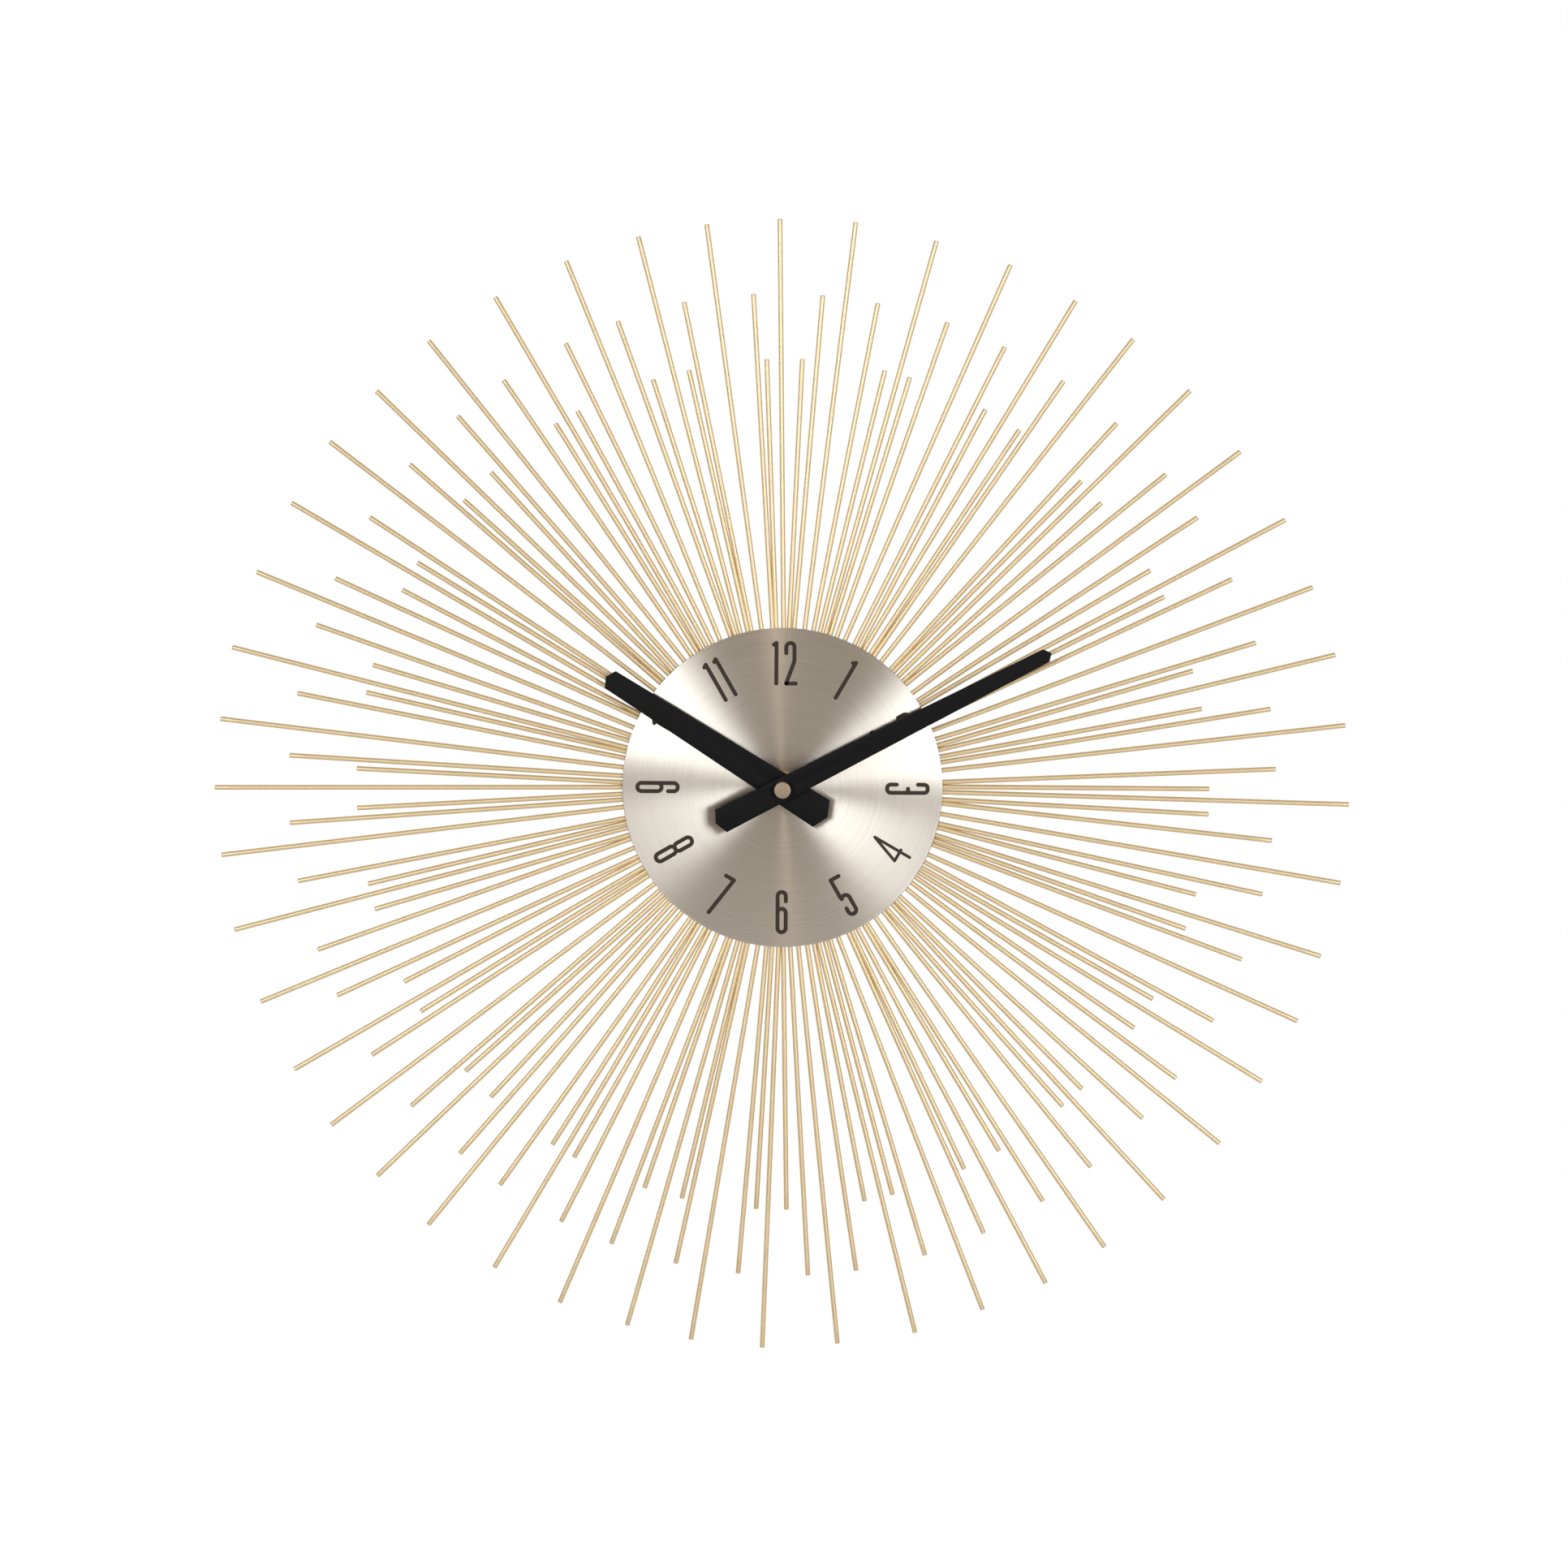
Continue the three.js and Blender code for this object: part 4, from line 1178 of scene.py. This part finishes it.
def cell_axis():
    """The height and depth of the cell's centreline."""
    low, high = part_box("battery_cell")
    return (low.z + high.z) / 2 / MM, -(low.y + high.y) / 2 / MM


def cell_mesh():
    """The can from its nub to its flat end, as (radius, place along the cell)."""
    left, right, bottom, top = edges_of("battery_cell")
    length, radius = right - left, (top - bottom) / 2
    nub = CELL_NUB
    profile = [
        (0, 0), (2.3, 0), (2.75, 0.3), (2.75, nub - 0.15), (3.0, nub), (5.6, nub), (5.8, nub + 0.2),
        (6.3, nub + 0.2), (6.5, nub), (radius, nub + 0.7), (radius, length - 0.6),
        (radius - 0.35, length - 0.1), (6.2, length), (5.4, length), (5.2, length - 0.25), (0, length - 0.25),
    ]
    mesh = turned(softened(profile, 0.2, 3, closed=False), 96, closed=False)
    return laid(mesh, ALONG_X, left, *cell_axis())


def tube(path, radius):
    """A round wire along a line of points, with closed ends."""
    sides = 12
    line = [Vector(p) for p in path]
    side = (line[1] - line[0]).orthogonal().normalized()
    rings = []
    for i, point in enumerate(line):
        run = (line[min(i + 1, len(line) - 1)] - line[max(i - 1, 0)]).normalized()
        side = (side - run * side.dot(run)).normalized()
        other = run.cross(side)
        turns = (2 * math.pi * j / sides for j in range(sides))
        rings.append([point + radius * (side * math.cos(turn) + other * math.sin(turn)) for turn in turns])
    last = sides * len(line)
    return skinned(rings, caps=(range(sides), range(last - sides, last)))


def spring_mesh():
    """A conical spring, wide at the case's wall and narrow at the cell's flat end."""
    y, depth = cell_axis()
    wide, narrow = SPRING_RADII
    start = half_width("movement_case") - CASE_WALL - SPRING_GAP
    steps = 180
    line = []
    for i in range(steps + 1):
        share = i / steps
        radius = wide + (narrow - wide) * share
        angle = 2 * math.pi * SPRING_TURNS * share
        up, out = radius * math.cos(angle), radius * math.sin(angle)
        line.append((start - SPRING_REACH * share, y + up, depth + out))
    return tube(line, SPRING_WIRE)


def add_power():
    spring = spring_mesh()
    shown("cell_can", cell_mesh(), CELL_WRAP, "battery", "battery_cell", 40)
    shown("spring_wire", spring, CONTACT_STEEL, "frame", "negative_contact_spring", 60)


add_power()


# ---- what is soldered to the circuit board's rear ----

def blob(radius, height, base, segments):
    """A low rounded dome that stands on a board's rear face and reaches a little into it."""
    dome = [(x, base - y) for x, y in arc(0, 0, radius, 90, 0, 9, height)]
    return turned([*dome, (radius, base + 0.2), (0, base + 0.2)], segments, closed=False)


def crystal_lead(foot, crystal_x, crystal_top, board_rear):
    """A wire from the crystal's end, bent out and down to its solder joint."""
    x, y = foot
    inner = crystal_x + (x - crystal_x) / 2
    level = sum(depths("quartz_crystal")) / 2
    path = [(inner, crystal_top - 0.2, level), (inner, crystal_top + 0.3, level)]
    path += [(x, y - 0.5, level + 0.1), (x, y, board_rear + 0.1)]
    return tube(path, LEAD_RADIUS)


def add_board_parts():
    left, _, _, top = edges_of("circuit_board")
    rear = depths("circuit_board")[0]
    crystal_x, crystal_top = centre_of("quartz_crystal")[0], edges_of("quartz_crystal")[3]
    lead_feet = [(crystal_x + side * LEAD_SPREAD, crystal_top + LEAD_REACH) for side in (-1, 1)]
    feet = lead_feet + [(left + x, top + y) for x, y in COIL_FEET + CONTACT_FEET]
    chip = moved(blob(CHIP_RADIUS, CHIP_HEIGHT, rear, 48), left + CHIP_AT[0], top + CHIP_AT[1])
    joints = [moved(blob(SOLDER_RADIUS, SOLDER_HEIGHT, rear, 24), *at) for at in feet]
    leads = [crystal_lead(foot, crystal_x, crystal_top, rear) for foot in lead_feet]
    shown("chip_blob", chip, CHIP_RESIN, "frame", smooth=60)
    shown("solder_joints", merged(*joints), CONTACT_STEEL, "frame", smooth=60)
    shown("crystal_leads", merged(*leads), CONTACT_STEEL, "frame", smooth=60)


add_board_parts()


# ---- looks for the CAD parts that stay ----

def dress_kept_nodes():
    """Gives each CAD node that still shows the look of its material slot."""
    look_for = {"brass": BRASS, "gear_plastic": GEAR_WHITE, "bridge_plastic": BRIDGE_WHITE, "magnet": MAGNET,
                "core_steel": CORE_STEEL, "contact_steel": CONTACT_STEEL, "crystal_can": CRYSTAL_CAN,
                "coil_copper": COPPER_WIRE, "board_green": BOARD_GREEN}
    slots = {part["node"]: part["material_slot"] for part in frame["record"]["subparts"]}
    for name, node in frame["nodes"].items():
        if not node.hide_render:
            node.data.materials.clear()
            node.data.materials.append(look_for[slots[name]])


dress_kept_nodes()


# ---- floor and light ----

def add_floor():
    """A pale round floor below the clock, made with its top at zero and then set down."""
    thickness, edge = 10, 4
    profile = softened(disc_profile(FLOOR_RADIUS / MM, -thickness, 0), edge, closed=False)
    mesh = turned(profile, 96, closed=False)
    mesh.transform(Matrix.Translation((0, 0, FLOOR_UP / MM)))
    mesh.transform(Matrix.Scale(MM, 4))
    look = Look("floor", (0.86, 0.85, 0.84), roughness=0.7)
    look.colour(look.noise(60, 4), (0.84, 0.83, 0.82), (0.88, 0.87, 0.86))
    mesh.materials.append(look.material)
    placed("floor", mesh)


def softbox(name, clock_angle, from_axis, size, power, colour):
    """A rectangular light that faces the dial, placed as seen from it."""
    data = bpy.data.lights.new(name, "AREA")
    data.shape = "RECTANGLE"
    data.size, data.size_y = size
    data.energy = power
    data.color = colour
    light = placed(name, data)
    off = math.radians(from_axis)
    x, y = clock_point(math.sin(off), clock_angle)
    towards = Vector((x, -math.cos(off), y))
    across = Vector((y, 0, -x)).normalized()
    light.location = towards * LIGHT_DISTANCE
    light.rotation_mode = "QUATERNION"
    light.rotation_quaternion = Matrix((across, towards.cross(across), towards)).transposed().to_quaternion()
    light.visible_camera = False


def add_world():
    """White behind the clock, and a dimmer, warmer room in front of it that the metal reflects."""
    world = bpy.data.worlds.new("studio")
    bpy.context.scene.world = world
    world.use_nodes = True
    tree = world.node_tree
    tree.nodes.clear()

    def node(kind):
        return tree.nodes.new("ShaderNode" + kind)

    output, mix, seen, lit = node("OutputWorld"), node("MixShader"), node("Background"), node("Background")
    path, spot, split = node("LightPath"), node("TexCoord"), node("SeparateXYZ")
    ramp, shift = node("ValToRGB"), node("MapRange")
    seen.inputs["Color"].default_value = (*WHITE, 1)
    shift.inputs["From Min"].default_value = -1
    shift.inputs["From Max"].default_value = 1
    for stop, place, room in zip(ramp.color_ramp.elements, ROOM_EDGE, (FRONT_ROOM, BACK_ROOM)):
        stop.position = place
        stop.color = (*room, 1)
    for start, end in (
        (spot.outputs["Generated"], split.inputs[0]),
        (split.outputs["Y"], shift.inputs["Value"]),
        (shift.outputs["Result"], ramp.inputs["Fac"]),
        (ramp.outputs["Color"], lit.inputs["Color"]),
        (path.outputs["Is Camera Ray"], mix.inputs["Fac"]),
        (lit.outputs[0], mix.inputs[1]),
        (seen.outputs[0], mix.inputs[2]),
        (mix.outputs[0], output.inputs["Surface"]),
    ):
        tree.links.new(start, end)


add_floor()
add_world()
for name, settings in LIGHTS.items():
    softbox(name, *settings)
bpy.context.scene.view_settings.view_transform = "Standard"
